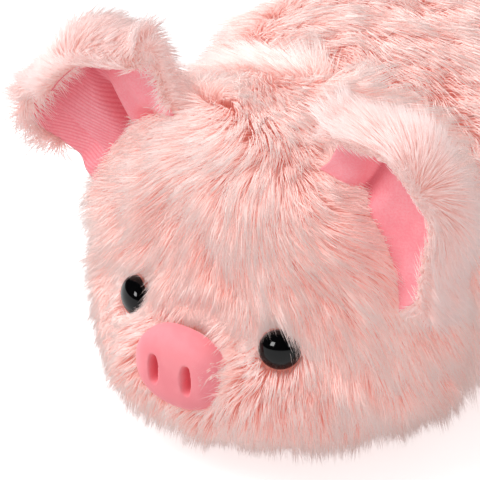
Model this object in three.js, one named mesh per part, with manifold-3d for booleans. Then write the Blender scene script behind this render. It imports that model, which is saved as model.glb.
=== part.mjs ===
// A plush pig that lies flat on its belly with its chin on the floor.
// Long-pile fabric covers over fibre filling, four stub legs, two soft folded ears with a
// fabric lining, two domed safety eyes, a moulded snout and a curled tail.
// Millimetres, +Z up. The pig faces -Y and its left side is +X.
// The origin is the middle of the flat belly face that it rests on.

import * as THREE from 'three';
import { mergeVertices } from 'three/addons/utils/BufferGeometryUtils.js';
import Module from 'manifold-3d';

const wasm = await Module();
wasm.setup();

// Clearances and cuts
const seamGap = 0.3; // between two neighbouring pieces
const fillingGap = 0.5; // between a cover and its filling
const floorCut = 0.5; // how deep the resting faces are cut flat
const cutOverrun = 40; // how far a cutting block runs past what it cuts

// Fabric
const pileThickness = 9; // backing and lofted pile of the head and body covers
const backingThickness = 2; // woven backing with the roots of the pile
const legPileThickness = 7;
const earPileThickness = 7;
const liningThickness = 1.6;

// Body cover
const bodyHalfWidth = 87;
const bodyMiddleHeight = 56; // height of its widest line
const bodyTopHeight = 124;
const bodyFrontReach = 100; // middle to the front end, before the neck is cut
const bodyRearReach = 105;
const neckSetback = 15; // the neck seam lies this far behind that front end
const bellySeamHeight = 20; // seam between the back panels and the belly panel
const bodyFrontPower = 4;
const bodyRearPower = 2.3;
const bodySectionPower = 2.5;

// Head cover
const headHalfWidth = 74;
const headMiddleHeight = 52;
const headTopHeight = 128;
const headFrontReach = 45;
const headRearReach = 62;
const neckInset = 27; // the neck seam cuts this much off the rear of the head
const headFrontPower = 2.8;
const headRearPower = 2.3;
const headSectionPower = 2.3;
const muzzleSwell = 21; // how far the muzzle and cheeks stand out of the face
const muzzleHeight = 26; // height of the middle of that swell
const muzzleHalfWidth = 46;
const muzzleHalfHeight = 25;

// Snout, a moulded piece with a shank
const snoutHeight = 44; // height of its middle
const snoutHalfWidth = 18;
const snoutHalfHeight = 15;
const snoutProud = 6; // stands out of the muzzle
const snoutFrontDepth = 9; // middle plane of the moulding to its face
const snoutRimPower = 3.4;
const snoutOutlinePower = 2.3;
const nostrilSpacing = 14;
const nostrilHalfWidth = 1.8;
const nostrilHalfHeight = 5.5;
const nostrilDepth = 5;
const snoutShankRadius = 3;
const snoutShankLength = 12;

// Eyes, domed safety eyes with a shank
const eyeRadius = 7.5;
const eyeDomeHeight = 7;
const eyeFlangeHeight = 1.5; // thickness of the flange under the dome
const eyeSideways = 32;
const eyeHeight = 54.5;
const eyeYaw = 32; // degrees outwards from straight ahead
const eyeShankRadius = 2.2;
const eyeShankLength = 12;
const eyeProud = 4; // stands out of the pile, which the flange crushes

// Lock washers, pressed on the shanks inside the head
const eyeWasherRadius = 8;
const snoutWasherRadius = 10;
const washerThickness = 1.6;

// Ears
const earForward = 16; // the ear seam lies this far in front of the middle of the head
const earUpperAngle = 67; // degrees round the head, of the upper end of the seam
const earLowerAngle = 21;
const earRootDepth = 10; // how far the uncut ear runs into the head
const earRise = 27; // straight part, from the seam to the fold
const earFoldRadius = 9;
const earFoldAngle = 140; // degrees that the tip is folded over forwards
const earFlapLength = 5; // what hangs down past the fold
const earWideHalfWidth = 35;
const earCup = 8; // how far the side edges come forward
const earPinch = 5; // depth of the crease at the seam
const earPinchPlaceShare = -0.3;
const earPinchWidthShare = 0.16;
const earWidestShare = 0.45;
const earTipPower = 3; // how blunt the tip's outline is
const earRimThickness = 3;
const earRimPower = 6; // how late the pile thins towards the rim
const earTipMargin = 1; // the tip ends in a short edge, this far before its point
const earHingeForward = 20; // degrees
const earHingeBack = 25;

// Legs, stubs that end in a round foot
const legRadius = 20;
const legHalfLength = 34;
const legPower = 2.6;
const frontLegInset = 11; // its middle lies this far inside the body's side
const frontLegSetback = 50; // and this far behind the body's front end
const frontLegYaw = 60; // degrees outwards from straight ahead
const rearLegInset = 15;
const rearLegSetback = 35; // in front of the body's rear end
const rearLegYaw = 150;
const legSwing = 12; // degrees, both ways

// Tail, one curl of stuffed lining fabric
const tailHeight = 78;
const tailRootRadius = 5.5;
const tailTipRadius = 3;
const tailCurlRadius = 9;
const tailReach = 22; // how far the curl stands out behind
const tailCurlOnset = 3; // turns of speed at which the curl opens out
const tailTurns = 1.2;

// Counts of faces
const bodySteps = 18;
const bodySides = 32;
const headSteps = 18;
const headSides = 32;
const legSteps = 9;
const legSides = 16;
const legSeamSearches = 60; // strides of the search for the place of a leg's seam
const coreSteps = 10; // the filling
const coreSides = 20;
const roundSides = 20; // eyes, washers and shanks
const domeSteps = 5;
const snoutSteps = 10;
const snoutSides = 28;
const nostrilSteps = 6;
const nostrilSides = 12;
const earAcrossSteps = 12;
const earAlongSteps = 15;
const earRimStrips = 1; // strips of that grid that the lining leaves to the pile
const tailSteps = 26;
const tailSides = 8;
const capSteps = 3; // rings of the tail's round ends
const sweepSteps = 5;

// Colours, roughness
const colours = {
  pile: 0xf3bdb4,
  lining: 0xea8a93,
  snout: 0xf59da2,
  eye: 0x060607,
  washer: 0xe8e6e0,
  filling: 0xf6f4ef,
};

const neckY = neckSetback - bodyFrontReach;
const headMiddleY = neckY + neckInset - headRearReach;
const flangeDepth = pileThickness - backingThickness; // where a rigid piece sits on the backing
const snoutRearDepth = flangeDepth + snoutProud - snoutFrontDepth;

function degrees(angle) {
  return THREE.MathUtils.degToRad(angle);
}

// A signed power that squares off a circle: 2 keeps it round, more makes it blunter.
function blunt(value, power) {
  return Math.sign(value) * Math.abs(value) ** (2 / power);
}

// A closed surface from pole to pole: place(along, around) gives the point at two angles.
function poleSurface(steps, sides, place) {
  const points = [place(0, 0)];
  const faces = [];
  for (let step = 1; step < steps; step += 1) {
    for (let side = 0; side < sides; side += 1) {
      points.push(place((Math.PI * step) / steps, (2 * Math.PI * side) / sides));
    }
  }
  points.push(place(Math.PI, 0));
  const last = points.length - 1;
  const ringStart = (step) => 1 + (step - 1) * sides;
  for (let side = 0; side < sides; side += 1) {
    const next = (side + 1) % sides;
    faces.push(0, ringStart(1) + side, ringStart(1) + next);
    faces.push(last, ringStart(steps - 1) + next, ringStart(steps - 1) + side);
    for (let step = 1; step < steps - 1; step += 1) {
      const near = ringStart(step);
      const far = ringStart(step + 1);
      faces.push(near + side, far + side, far + next);
      faces.push(near + side, far + next, near + next);
    }
  }
  return indexedGeometry(points, faces);
}

function indexedGeometry(points, faces) {
  const geometry = new THREE.BufferGeometry();
  geometry.setFromPoints(points);
  geometry.setIndex(faces);
  return geometry;
}

// Joins and cuts are made on solids, and a solid is made from a closed geometry.
function solidOf(geometry) {
  const plain = geometry.clone();
  plain.deleteAttribute('normal');
  plain.deleteAttribute('uv');
  const merged = mergeVertices(plain);
  return new wasm.Manifold(new wasm.Mesh({
    numProp: 3,
    vertProperties: new Float32Array(merged.attributes.position.array),
    triVerts: new Uint32Array(merged.index.array),
  }));
}

function geometryOf(solid) {
  const mesh = solid.getMesh();
  const geometry = new THREE.BufferGeometry();
  geometry.setAttribute('position', new THREE.BufferAttribute(mesh.vertProperties, 3));
  geometry.setIndex(new THREE.BufferAttribute(mesh.triVerts, 1));
  geometry.computeVertexNormals();
  return geometry;
}

// The same shape on the other side of the pig, with its faces still pointing out.
function mirrored(geometry) {
  const copy = geometry.clone();
  copy.applyMatrix4(new THREE.Matrix4().makeScale(-1, 1, 1));
  const index = Array.from(copy.index.array);
  for (let corner = 0; corner < index.length; corner += 3) {
    [index[corner + 1], index[corner + 2]] = [index[corner + 2], index[corner + 1]];
  }
  copy.setIndex(index);
  copy.computeVertexNormals();
  return copy;
}

// A block between two corners.
function block(low, high) {
  const size = new THREE.Vector3().subVectors(high, low);
  const middle = new THREE.Vector3().addVectors(low, high).multiplyScalar(1 / 2);
  const geometry = new THREE.BoxGeometry(size.x, size.y, size.z);
  geometry.translate(middle.x, middle.y, middle.z);
  return solidOf(geometry);
}

// Everything inside these limits, open ones running well past the pig.
function keep({ fromX, fromY, fromZ, toX, toY, toZ }) {
  const farX = bodyHalfWidth + legHalfLength + cutOverrun;
  const farY = bodyRearReach + headFrontReach + headRearReach + cutOverrun;
  const farZ = bodyTopHeight + cutOverrun;
  return block(
    new THREE.Vector3(fromX ?? -farX, fromY ?? -farY, fromZ ?? -farZ),
    new THREE.Vector3(toX ?? farX, toY ?? farY, toZ ?? farZ),
  );
}

const aboveFloor = keep({ fromZ: 0 });

// Body form: blunt-ended along Y, a blunt oval across. The inset moves it inwards.
function bodySurface(inset, steps, sides) {
  return poleSurface(steps, sides, (along, around) => {
    const back = -Math.cos(along);
    const power = back < 0 ? bodyFrontPower : bodyRearPower;
    const reach = (back < 0 ? bodyFrontReach : bodyRearReach) - inset;
    const girth = blunt(Math.sin(along), power);
    const up = Math.sin(around);
    const height = up > 0 ? bodyTopHeight - bodyMiddleHeight : bodyMiddleHeight + floorCut;
    return new THREE.Vector3(
      (bodyHalfWidth - inset) * girth * blunt(Math.cos(around), bodySectionPower),
      reach * blunt(back, power),
      bodyMiddleHeight + (height - inset) * girth * blunt(up, bodySectionPower),
    );
  });
}

// The muzzle is a soft swell of the face around the snout and down to the chin.
function muzzleAt(x, z) {
  const across = x / muzzleHalfWidth;
  const up = (z - muzzleHeight) / muzzleHalfHeight;
  return muzzleSwell * Math.exp(-((across ** 2 + up ** 2) ** 2) / 2);
}

// Head form: the same kind of surface as the body, with the muzzle pushed out in front.
function headSurface(inset, steps, sides) {
  return poleSurface(steps, sides, (along, around) => {
    const back = -Math.cos(along);
    const power = back < 0 ? headFrontPower : headRearPower;
    const reach = (back < 0 ? headFrontReach : headRearReach) - inset;
    const girth = blunt(Math.sin(along), power);
    const up = Math.sin(around);
    const height = up > 0 ? headTopHeight - headMiddleHeight : headMiddleHeight + floorCut;
    const x = (headHalfWidth - inset) * girth * blunt(Math.cos(around), headSectionPower);
    const z = headMiddleHeight + (height - inset) * girth * blunt(up, headSectionPower);
    const y = headMiddleY + reach * blunt(back, power);
    return new THREE.Vector3(x, back < 0 ? y - muzzleAt(x, z) * Math.abs(back) : y, z);
  });
}

// How far forward the face reaches at a place seen from the front.
function faceY(x, z) {
  const rise = z > headMiddleHeight ? headTopHeight - headMiddleHeight : headMiddleHeight + floorCut;
  const across = Math.abs(x / headHalfWidth) ** headSectionPower;
  const up = Math.abs((z - headMiddleHeight) / rise) ** headSectionPower;
  const girth = (across + up) ** (1 / headSectionPower);
  const back = (1 - girth ** headFrontPower) ** (1 / headFrontPower);
  return headMiddleY - headFrontReach * back - muzzleAt(x, z) * back ** (headFrontPower / 2);
}

// The point of the head's surface at an angle round it, in the plane of the ear seams.
function earSeamPoint(angle) {
  const forward = (earForward / headFrontReach) ** headFrontPower;
  const girth = (1 - forward) ** (1 / headFrontPower);
  return new THREE.Vector3(
    headHalfWidth * girth * blunt(Math.cos(angle), headSectionPower),
    headMiddleY - earForward,
    headMiddleHeight + (headTopHeight - headMiddleHeight) * girth * blunt(Math.sin(angle), headSectionPower),
  );
}

// Turns a surface about an axis through a point.
function turnedAbout(surface, pivot, axis, angle) {
  const turned = surface.clone();
  turned.translate(-pivot.x, -pivot.y, -pivot.z);
  turned.applyMatrix4(new THREE.Matrix4().makeRotationAxis(axis, angle));
  turned.translate(pivot.x, pivot.y, pivot.z);
  return turned;
}

// Materials
function material(name, roughness) {
  return new THREE.MeshStandardMaterial({ color: colours[name], roughness, metalness: 0 });
}

const pileMaterial = () => material('pile', 0.95);
const liningMaterial = () => material('lining', 0.85);
const snoutMaterial = () => material('snout', 0.6);
const eyeMaterial = () => material('eye', 0.08);
const washerMaterial = () => material('washer', 0.5);
const fillingMaterial = () => material('filling', 1);

const group = new THREE.Group();

function addPiece(name, geometry, finish, parent = group) {
  const mesh = new THREE.Mesh(geometry, finish);
  mesh.name = name;
  parent.add(mesh);
  return mesh;
}

// The left piece as it is made, and its mirror image on the right.
function addPair(name, geometry, finish) {
  addPiece(`left_${name}`, geometry, finish());
  addPiece(`right_${name}`, mirrored(geometry), finish());
}

// Rigid pieces of the face: each is turned on its own axis, which is local +Z
function lathe(points) {
  const profile = points.map(([radius, height]) => new THREE.Vector2(radius, height));
  const geometry = new THREE.LatheGeometry(profile, roundSides);
  geometry.rotateX(Math.PI / 2);
  return geometry;
}

// Eye: a dome on a flange, with a shank that goes back through the fabric.
function eyeGeometry(clearance) {
  const points = [
    [0, -eyeShankLength - clearance],
    [eyeShankRadius + clearance, -eyeShankLength - clearance],
    [eyeShankRadius + clearance, -clearance],
    [eyeRadius + clearance, -clearance],
  ];
  for (let step = 0; step < domeSteps; step += 1) {
    const angle = (Math.PI / 2) * (step / domeSteps);
    points.push([
      (eyeRadius + clearance) * Math.cos(angle),
      eyeFlangeHeight + (eyeDomeHeight - eyeFlangeHeight + clearance) * Math.sin(angle),
    ]);
  }
  points.push([0, eyeDomeHeight + clearance]);
  return lathe(points);
}

// Washer: a flat ring round a shank, with its front face at the height given.
function washerGeometry(bore, radius, front, clearance) {
  const back = front - washerThickness;
  return lathe([
    [bore - clearance, back - clearance],
    [radius + clearance, back - clearance],
    [radius + clearance, front + clearance],
    [bore - clearance, front + clearance],
    [bore - clearance, back - clearance],
  ]);
}

// A round pin between two heights on local Z.
function pin(radius, bottom, top) {
  const geometry = new THREE.CylinderGeometry(radius, radius, top - bottom, roundSides);
  geometry.rotateX(Math.PI / 2);
  geometry.translate(0, 0, (top + bottom) / 2);
  return geometry;
}

// A blunt oval lens: outline across, flatter front and back.
function lens(halfWidth, halfHeight, front, rear, steps, sides) {
  return poleSurface(steps, sides, (along, around) => {
    const girth = blunt(Math.sin(along), snoutRimPower);
    const out = Math.cos(along);
    return new THREE.Vector3(
      halfWidth * girth * blunt(Math.cos(around), snoutOutlinePower),
      halfHeight * girth * blunt(Math.sin(around), snoutOutlinePower),
      (out > 0 ? front : rear) * blunt(out, snoutRimPower),
    );
  });
}

function snoutSolid(clearance) {
  const moulding = solidOf(lens(
    snoutHalfWidth + clearance,
    snoutHalfHeight + clearance,
    snoutFrontDepth,
    snoutRearDepth + clearance,
    snoutSteps,
    snoutSides,
  ));
  const end = -snoutRearDepth - snoutShankLength - clearance;
  return moulding.add(solidOf(pin(snoutShankRadius + clearance, end, 0)));
}

function snoutGeometry() {
  let moulding = snoutSolid(0);
  for (const side of [-1, 1]) {
    const slot = poleSurface(nostrilSteps, nostrilSides, (along, around) => new THREE.Vector3(
      nostrilHalfWidth * Math.sin(along) * Math.cos(around),
      nostrilHalfHeight * Math.sin(along) * Math.sin(around),
      nostrilDepth * Math.cos(along),
    ));
    slot.translate((side * nostrilSpacing) / 2, 0, snoutFrontDepth);
    moulding = moulding.subtract(solidOf(slot));
  }
  return geometryOf(moulding);
}

// A place on the face: local +Z points out of it, local +Y stays upright.
function facePlace(x, z, yaw, depth) {
  const out = new THREE.Vector3(Math.sin(yaw), -Math.cos(yaw), 0);
  const up = new THREE.Vector3(0, 0, 1);
  const across = new THREE.Vector3().crossVectors(up, out);
  const seat = new THREE.Vector3(x, faceY(x, z), z).addScaledVector(out, -depth);
  return new THREE.Matrix4().makeBasis(across, up, out).setPosition(seat);
}

const eyeDepth = eyeDomeHeight - eyeProud;
const leftEyePlace = facePlace(eyeSideways, eyeHeight, degrees(eyeYaw), eyeDepth);
const rightEyePlace = facePlace(-eyeSideways, eyeHeight, degrees(-eyeYaw), eyeDepth);
const snoutPlace = facePlace(0, snoutHeight, 0, flangeDepth - snoutRearDepth);

// The washers clamp the backing: their front faces lie just behind it.
const eyeWasherFront = eyeDepth - pileThickness - seamGap;
const snoutWasherFront = -snoutRearDepth - backingThickness - seamGap;
const eyeWasherBore = eyeShankRadius + seamGap;
const snoutWasherBore = snoutShankRadius + seamGap;

function eyeWasher(clearance) {
  return washerGeometry(eyeWasherBore, eyeWasherRadius, eyeWasherFront, clearance);
}

function snoutWasher(clearance) {
  return washerGeometry(snoutWasherBore, snoutWasherRadius, snoutWasherFront, clearance);
}

function placedSolid(geometry, place) {
  return solidOf(geometry.clone().applyMatrix4(place));
}

function placedPiece(name, geometry, finish, place) {
  const mesh = addPiece(name, geometry, finish);
  mesh.applyMatrix4(place);
}

// What the rigid pieces need cleared in the covers
function faceHoles() {
  let holes = placedSolid(geometryOf(snoutSolid(seamGap)), snoutPlace)
    .add(placedSolid(snoutWasher(seamGap), snoutPlace));
  for (const place of [leftEyePlace, rightEyePlace]) {
    holes = holes.add(placedSolid(eyeGeometry(seamGap), place));
    holes = holes.add(placedSolid(eyeWasher(seamGap), place));
  }
  return holes;
}

// The filling is pressed back by each washer, so its recess is open to the front.
function fillingRecesses() {
  const recess = (radius, front, place) => {
    const back = front - washerThickness - seamGap;
    return placedSolid(pin(radius + seamGap, back, front + pileThickness), place);
  };
  return recess(snoutWasherRadius, snoutWasherFront, snoutPlace)
    .add(recess(eyeWasherRadius, eyeWasherFront, leftEyePlace))
    .add(recess(eyeWasherRadius, eyeWasherFront, rightEyePlace));
}

const holesInFace = faceHoles();

function addFace() {
  placedPiece('left_eye', eyeGeometry(0), eyeMaterial(), leftEyePlace);
  placedPiece('right_eye', eyeGeometry(0), eyeMaterial(), rightEyePlace);
  placedPiece('left_eye_washer', eyeWasher(0), washerMaterial(), leftEyePlace);
  placedPiece('right_eye_washer', eyeWasher(0), washerMaterial(), rightEyePlace);
  placedPiece('snout', snoutGeometry(), snoutMaterial(), snoutPlace);
  placedPiece('snout_washer', snoutWasher(0), washerMaterial(), snoutPlace);
}

// Head: two side panels that meet on the centre seam, open at the neck, and the filling
function addHead() {
  const inFront = keep({ toY: neckY - seamGap / 2 });
  const cover = solidOf(headSurface(0, headSteps, headSides))
    .subtract(solidOf(headSurface(pileThickness, coreSteps, coreSides)))
    .intersect(inFront)
    .intersect(aboveFloor)
    .subtract(holesInFace);
  addPair('head_panel', geometryOf(cover.intersect(keep({ fromX: seamGap / 2 }))), pileMaterial);
  const filling = solidOf(headSurface(pileThickness + fillingGap, coreSteps, coreSides))
    .intersect(inFront)
    .subtract(holesInFace)
    .subtract(fillingRecesses());
  addPiece('head_stuffing', geometryOf(filling), fillingMaterial());
}

// Body: two back panels, a belly panel, open at the neck, and the filling
function addBody() {
  const behind = keep({ fromY: neckY + seamGap / 2 });
  const cover = solidOf(bodySurface(0, bodySteps, bodySides))
    .subtract(solidOf(bodySurface(pileThickness, coreSteps, coreSides)))
    .intersect(behind)
    .intersect(aboveFloor);
  const leftBack = keep({ fromX: seamGap / 2, fromZ: bellySeamHeight + seamGap / 2 });
  addPair('back_panel', geometryOf(cover.intersect(leftBack)), pileMaterial);
  const belly = cover.intersect(keep({ toZ: bellySeamHeight - seamGap / 2 }));
  addPiece('belly_panel', geometryOf(belly), pileMaterial());
  const filling = solidOf(bodySurface(pileThickness + fillingGap, coreSteps, coreSides)).intersect(behind);
  addPiece('body_stuffing', geometryOf(filling), fillingMaterial());
}

// A leg lies along the floor. Its form swells in the middle and is round at the foot.
function legSurface(inset, sideways, y, yaw, steps, sides) {
  const surface = poleSurface(steps, sides, (along, around) => {
    const girth = (legRadius - inset) * blunt(Math.sin(along), legPower);
    return new THREE.Vector3(
      -girth * Math.cos(around),
      (legHalfLength - inset) * blunt(Math.cos(along), legPower),
      girth * Math.sin(around),
    );
  });
  surface.rotateZ(yaw - Math.PI);
  surface.translate(sideways, y, legRadius - floorCut);
  return surface;
}

// Where a leg's middle line leaves the body, which is the middle of its seam.
function legSeam(sideways, y, yaw) {
  const ahead = new THREE.Vector3(Math.sin(yaw), -Math.cos(yaw), 0);
  const seam = new THREE.Vector3(sideways, y, legRadius - floorCut).addScaledVector(ahead, -legHalfLength);
  const stride = ahead.multiplyScalar(legHalfLength / legSeamSearches);
  for (let search = 0; search < 2 * legSeamSearches && insideBody(seam); search += 1) {
    seam.add(stride);
  }
  return seam;
}

function insideBody(point) {
  const front = point.y < 0;
  const power = front ? bodyFrontPower : bodyRearPower;
  const reach = front ? bodyFrontReach : bodyRearReach;
  const girth = (1 - Math.min(1, Math.abs(point.y) / reach) ** power) ** (1 / power);
  const rise = point.z > bodyMiddleHeight ? bodyTopHeight - bodyMiddleHeight : bodyMiddleHeight + floorCut;
  const across = Math.abs(point.x / (bodyHalfWidth * girth)) ** bodySectionPower;
  const up = Math.abs((point.z - bodyMiddleHeight) / (rise * girth)) ** bodySectionPower;
  return across + up < 1;
}

// Cuts a hinged piece by the body and the head, at every angle that it turns to.
function clearOfTrunk(solid, pivot, axis, fromAngle, toAngle) {
  const trunk = [
    bodySurface(-seamGap, bodySteps, bodySides),
    headSurface(-seamGap, headSteps, headSides),
  ];
  let cleared = solid;
  for (let step = 0; step <= sweepSteps; step += 1) {
    const angle = degrees(fromAngle + ((toAngle - fromAngle) * step) / sweepSteps);
    for (const surface of trunk) {
      cleared = cleared.subtract(solidOf(turnedAbout(surface, pivot, axis, -angle)));
    }
  }
  return cleared;
}

function addLegs() {
  const up = new THREE.Vector3(0, 0, 1);
  const legs = [
    ['front_leg', bodyHalfWidth - frontLegInset, frontLegSetback - bodyFrontReach, degrees(frontLegYaw)],
    ['rear_leg', bodyHalfWidth - rearLegInset, bodyRearReach - rearLegSetback, degrees(rearLegYaw)],
  ];
  for (const [name, sideways, y, yaw] of legs) {
    const seam = legSeam(sideways, y, yaw);
    const form = (inset) => solidOf(legSurface(inset, sideways, y, yaw, legSteps, legSides));
    const clear = (solid) => clearOfTrunk(solid, seam, up, -legSwing, legSwing);
    const cover = clear(form(0).subtract(form(legPileThickness)).intersect(aboveFloor));
    addPair(`${name}_cover`, geometryOf(cover), pileMaterial);
    addPair(`${name}_stuffing`, geometryOf(clear(form(legPileThickness + fillingGap))), fillingMaterial);
    console.log(`${name} seam`, seam.toArray().map((value) => value.toFixed(2)).join(' '));
  }
}

// Ear: a sheet that rises from its seam and rolls over forwards at the top.
// across runs from -1 at the upper end of the seam to 1 at the lower end, along is a length.
const earLength = earRise + earFoldRadius * degrees(earFoldAngle) + earFlapLength;
const earUpper = earSeamPoint(degrees(earUpperAngle));
const earLower = earSeamPoint(degrees(earLowerAngle));
const earSeamDirection = new THREE.Vector3().subVectors(earLower, earUpper).normalize();
const earForwardDirection = new THREE.Vector3(0, -1, 0);
const earOutDirection = new THREE.Vector3().crossVectors(earForwardDirection, earSeamDirection);
const earMiddle = new THREE.Vector3().addVectors(earUpper, earLower).multiplyScalar(1 / 2);
const earBaseHalfWidth = earUpper.distanceTo(earLower) / 2;
const earCrown = earSeamPoint(degrees((earUpperAngle + earLowerAngle) / 2));
const earSagitta = new THREE.Vector3().subVectors(earCrown, earMiddle).dot(earOutDirection);
const earHingePoint = earMiddle.clone().addScaledVector(earOutDirection, earSagitta);

function earHalfWidth(along) {
  const share = Math.max(0, along) / earLength;
  if (share < earWidestShare) {
    const grow = THREE.MathUtils.smoothstep(share, 0, earWidestShare);
    return THREE.MathUtils.lerp(earBaseHalfWidth, earWideHalfWidth, grow);
  }
  const past = (share - earWidestShare) / (1 - earWidestShare);
  return earWideHalfWidth * (1 - past ** earTipPower) ** (1 / earTipPower);
}

function earPoint(across, along, height) {
  const turned = THREE.MathUtils.clamp((along - earRise) / earFoldRadius, 0, degrees(earFoldAngle));
  const straight = Math.min(along, earRise);
  const flap = Math.max(0, along - earRise - earFoldRadius * degrees(earFoldAngle));
  const out = straight + earFoldRadius * Math.sin(turned) + flap * Math.cos(turned);
  const forward = earFoldRadius * (1 - Math.cos(turned)) + flap * Math.sin(turned);
  const base = 1 - Math.min(1, Math.max(0, along) / earLength);
  const crease = earPinch * base * Math.exp(-(((across - earPinchPlaceShare) / earPinchWidthShare) ** 2));
  const lift = height + earCup * across ** 2 - crease;
  return earMiddle.clone()
    .addScaledVector(earSeamDirection, across * earHalfWidth(along))
    .addScaledVector(earOutDirection, out - lift * Math.sin(turned))
    .addScaledVector(earForwardDirection, forward + lift * Math.cos(turned));
}

// A closed sheet between two heights over the ear's middle surface. A sheet that leaves out
// some of the outermost strips of the ear's grid is smaller, and still lies flat on the other.
function earSheet(lowHeight, highHeight, leftOut) {
  const points = [];
  const faces = [];
  const lastColumn = earAcrossSteps - 2 * leftOut;
  const lastRow = earAlongSteps - leftOut;
  const columns = lastColumn + 1;
  for (const heightAt of [lowHeight, highHeight]) {
    for (let row = 0; row <= lastRow; row += 1) {
      const whole = earRootDepth + earLength - earTipMargin;
      const along = (whole * row) / earAlongSteps - earRootDepth;
      for (let column = 0; column <= lastColumn; column += 1) {
        const across = (2 * (column + leftOut)) / earAcrossSteps - 1;
        points.push(earPoint(across, along, heightAt(across, along)));
      }
    }
  }
  const upper = (lastRow + 1) * columns;
  const corner = (row, column) => row * columns + column;
  for (let row = 0; row < lastRow; row += 1) {
    for (let column = 0; column < lastColumn; column += 1) {
      const [a, b] = [corner(row, column), corner(row, column + 1)];
      const [c, d] = [corner(row + 1, column + 1), corner(row + 1, column)];
      faces.push(a, c, b, a, d, c);
      faces.push(upper + a, upper + b, upper + c, upper + a, upper + c, upper + d);
    }
  }
  const rim = [];
  for (let column = 0; column < lastColumn; column += 1) {
    rim.push(corner(0, column));
  }
  for (let row = 0; row < lastRow; row += 1) {
    rim.push(corner(row, lastColumn));
  }
  for (let column = lastColumn; column > 0; column -= 1) {
    rim.push(corner(lastRow, column));
  }
  for (let row = lastRow; row > 0; row -= 1) {
    rim.push(corner(row, 0));
  }
  rim.forEach((from, place) => {
    const to = rim[(place + 1) % rim.length];
    faces.push(from, to, upper + to, from, upper + to, upper + from);
  });
  return indexedGeometry(points, faces);
}

// The pile is full in the middle of the ear's back and thins towards its rim.
function earBackHeight(across, along) {
  const share = Math.max(0, along) / earLength;
  const edge = (1 - across ** earRimPower) * (1 - share ** earRimPower);
  return -(earRimThickness + (earPileThickness - earRimThickness) * edge);
}

function addEars() {
  const clear = (sheet) => clearOfTrunk(
    solidOf(sheet),
    earHingePoint,
    earSeamDirection,
    -earHingeBack,
    earHingeForward,
  );
  const back = clear(earSheet(earBackHeight, () => 0, 0));
  const lining = clear(earSheet(() => seamGap, () => seamGap + liningThickness, earRimStrips));
  addPair('ear_back', geometryOf(back), pileMaterial);
  addPair('ear_lining', geometryOf(lining), liningMaterial);
  const show = (vector) => vector.toArray().map((value) => value.toFixed(3)).join(' ');
  console.log('ear hinge', show(earHingePoint), 'axis', show(earSeamDirection));
}

// A closed tube round a path, with a round cap on each end.
function cappedTube(path, radiusAt, steps, sides) {
  const frames = path.computeFrenetFrames(steps, false);
  const rings = [];
  const addRing = (step, radius, shift) => {
    const centre = path.getPointAt(step / steps).addScaledVector(frames.tangents[step], shift);
    rings.push({ step, radius, centre });
  };
  for (let cap = 1; cap <= capSteps; cap += 1) {
    const angle = (Math.PI / 2) * (cap / capSteps);
    addRing(0, radiusAt(0) * Math.sin(angle), -radiusAt(0) * Math.cos(angle));
  }
  for (let step = 1; step < steps; step += 1) {
    addRing(step, radiusAt(step / steps), 0);
  }
  for (let cap = capSteps; cap >= 1; cap -= 1) {
    const angle = (Math.PI / 2) * (cap / capSteps);
    addRing(steps, radiusAt(1) * Math.sin(angle), radiusAt(1) * Math.cos(angle));
  }
  const points = [];
  for (const { step, radius, centre } of rings) {
    for (let side = 0; side < sides; side += 1) {
      const angle = (2 * Math.PI * side) / sides;
      points.push(centre.clone()
        .addScaledVector(frames.normals[step], radius * Math.cos(angle))
        .addScaledVector(frames.binormals[step], radius * Math.sin(angle)));
    }
  }
  const root = points.push(path.getPointAt(0).addScaledVector(frames.tangents[0], -radiusAt(0))) - 1;
  const tip = points.push(path.getPointAt(1).addScaledVector(frames.tangents[steps], radiusAt(1))) - 1;
  const lastRing = (rings.length - 1) * sides;
  const faces = [];
  for (let side = 0; side < sides; side += 1) {
    const next = (side + 1) % sides;
    faces.push(root, next, side);
    faces.push(tip, lastRing + side, lastRing + next);
    for (let near = 0; near < lastRing; near += sides) {
      const far = near + sides;
      faces.push(near + side, near + next, far + next, near + side, far + next, far + side);
    }
  }
  return indexedGeometry(points, faces);
}

// Tail: a tapering tube that curls round as it stands out behind. Its round root rests
// against the body, and the middle of that root is where it turns.
function addTail() {
  const rise = (tailHeight - bodyMiddleHeight) / (bodyTopHeight - bodyMiddleHeight);
  const back = (1 - rise ** bodyRearPower) ** (1 / bodyRearPower);
  const outward = new THREE.Vector3(
    0,
    back ** (bodyRearPower - 1) / bodyRearReach,
    rise ** (bodyRearPower - 1) / (bodyTopHeight - bodyMiddleHeight),
  ).normalize();
  const sideways = new THREE.Vector3(1, 0, 0);
  const lift = new THREE.Vector3().crossVectors(sideways, outward);
  const pivot = new THREE.Vector3(0, back * bodyRearReach, tailHeight)
    .addScaledVector(outward, tailRootRadius + seamGap);
  const centres = [];
  for (let step = 0; step <= tailSteps; step += 1) {
    const share = step / tailSteps;
    const angle = 2 * Math.PI * tailTurns * share;
    const curl = tailCurlRadius * Math.min(1, tailCurlOnset * share);
    centres.push(pivot.clone()
      .addScaledVector(outward, tailReach * share)
      .addScaledVector(sideways, curl * Math.sin(angle))
      .addScaledVector(lift, -curl * (1 - Math.cos(angle))));
  }
  const radiusAt = (share) => THREE.MathUtils.lerp(tailRootRadius, tailTipRadius, share);
  const path = new THREE.CatmullRomCurve3(centres);
  addPiece('tail', cappedTube(path, radiusAt, tailSteps, tailSides), liningMaterial());
  console.log('tail hinge', pivot.toArray().map((value) => value.toFixed(3)).join(' '));
}

addHead();
addFace();
addBody();
addLegs();
addEars();
addTail();

export default group;
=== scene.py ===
import math

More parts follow.
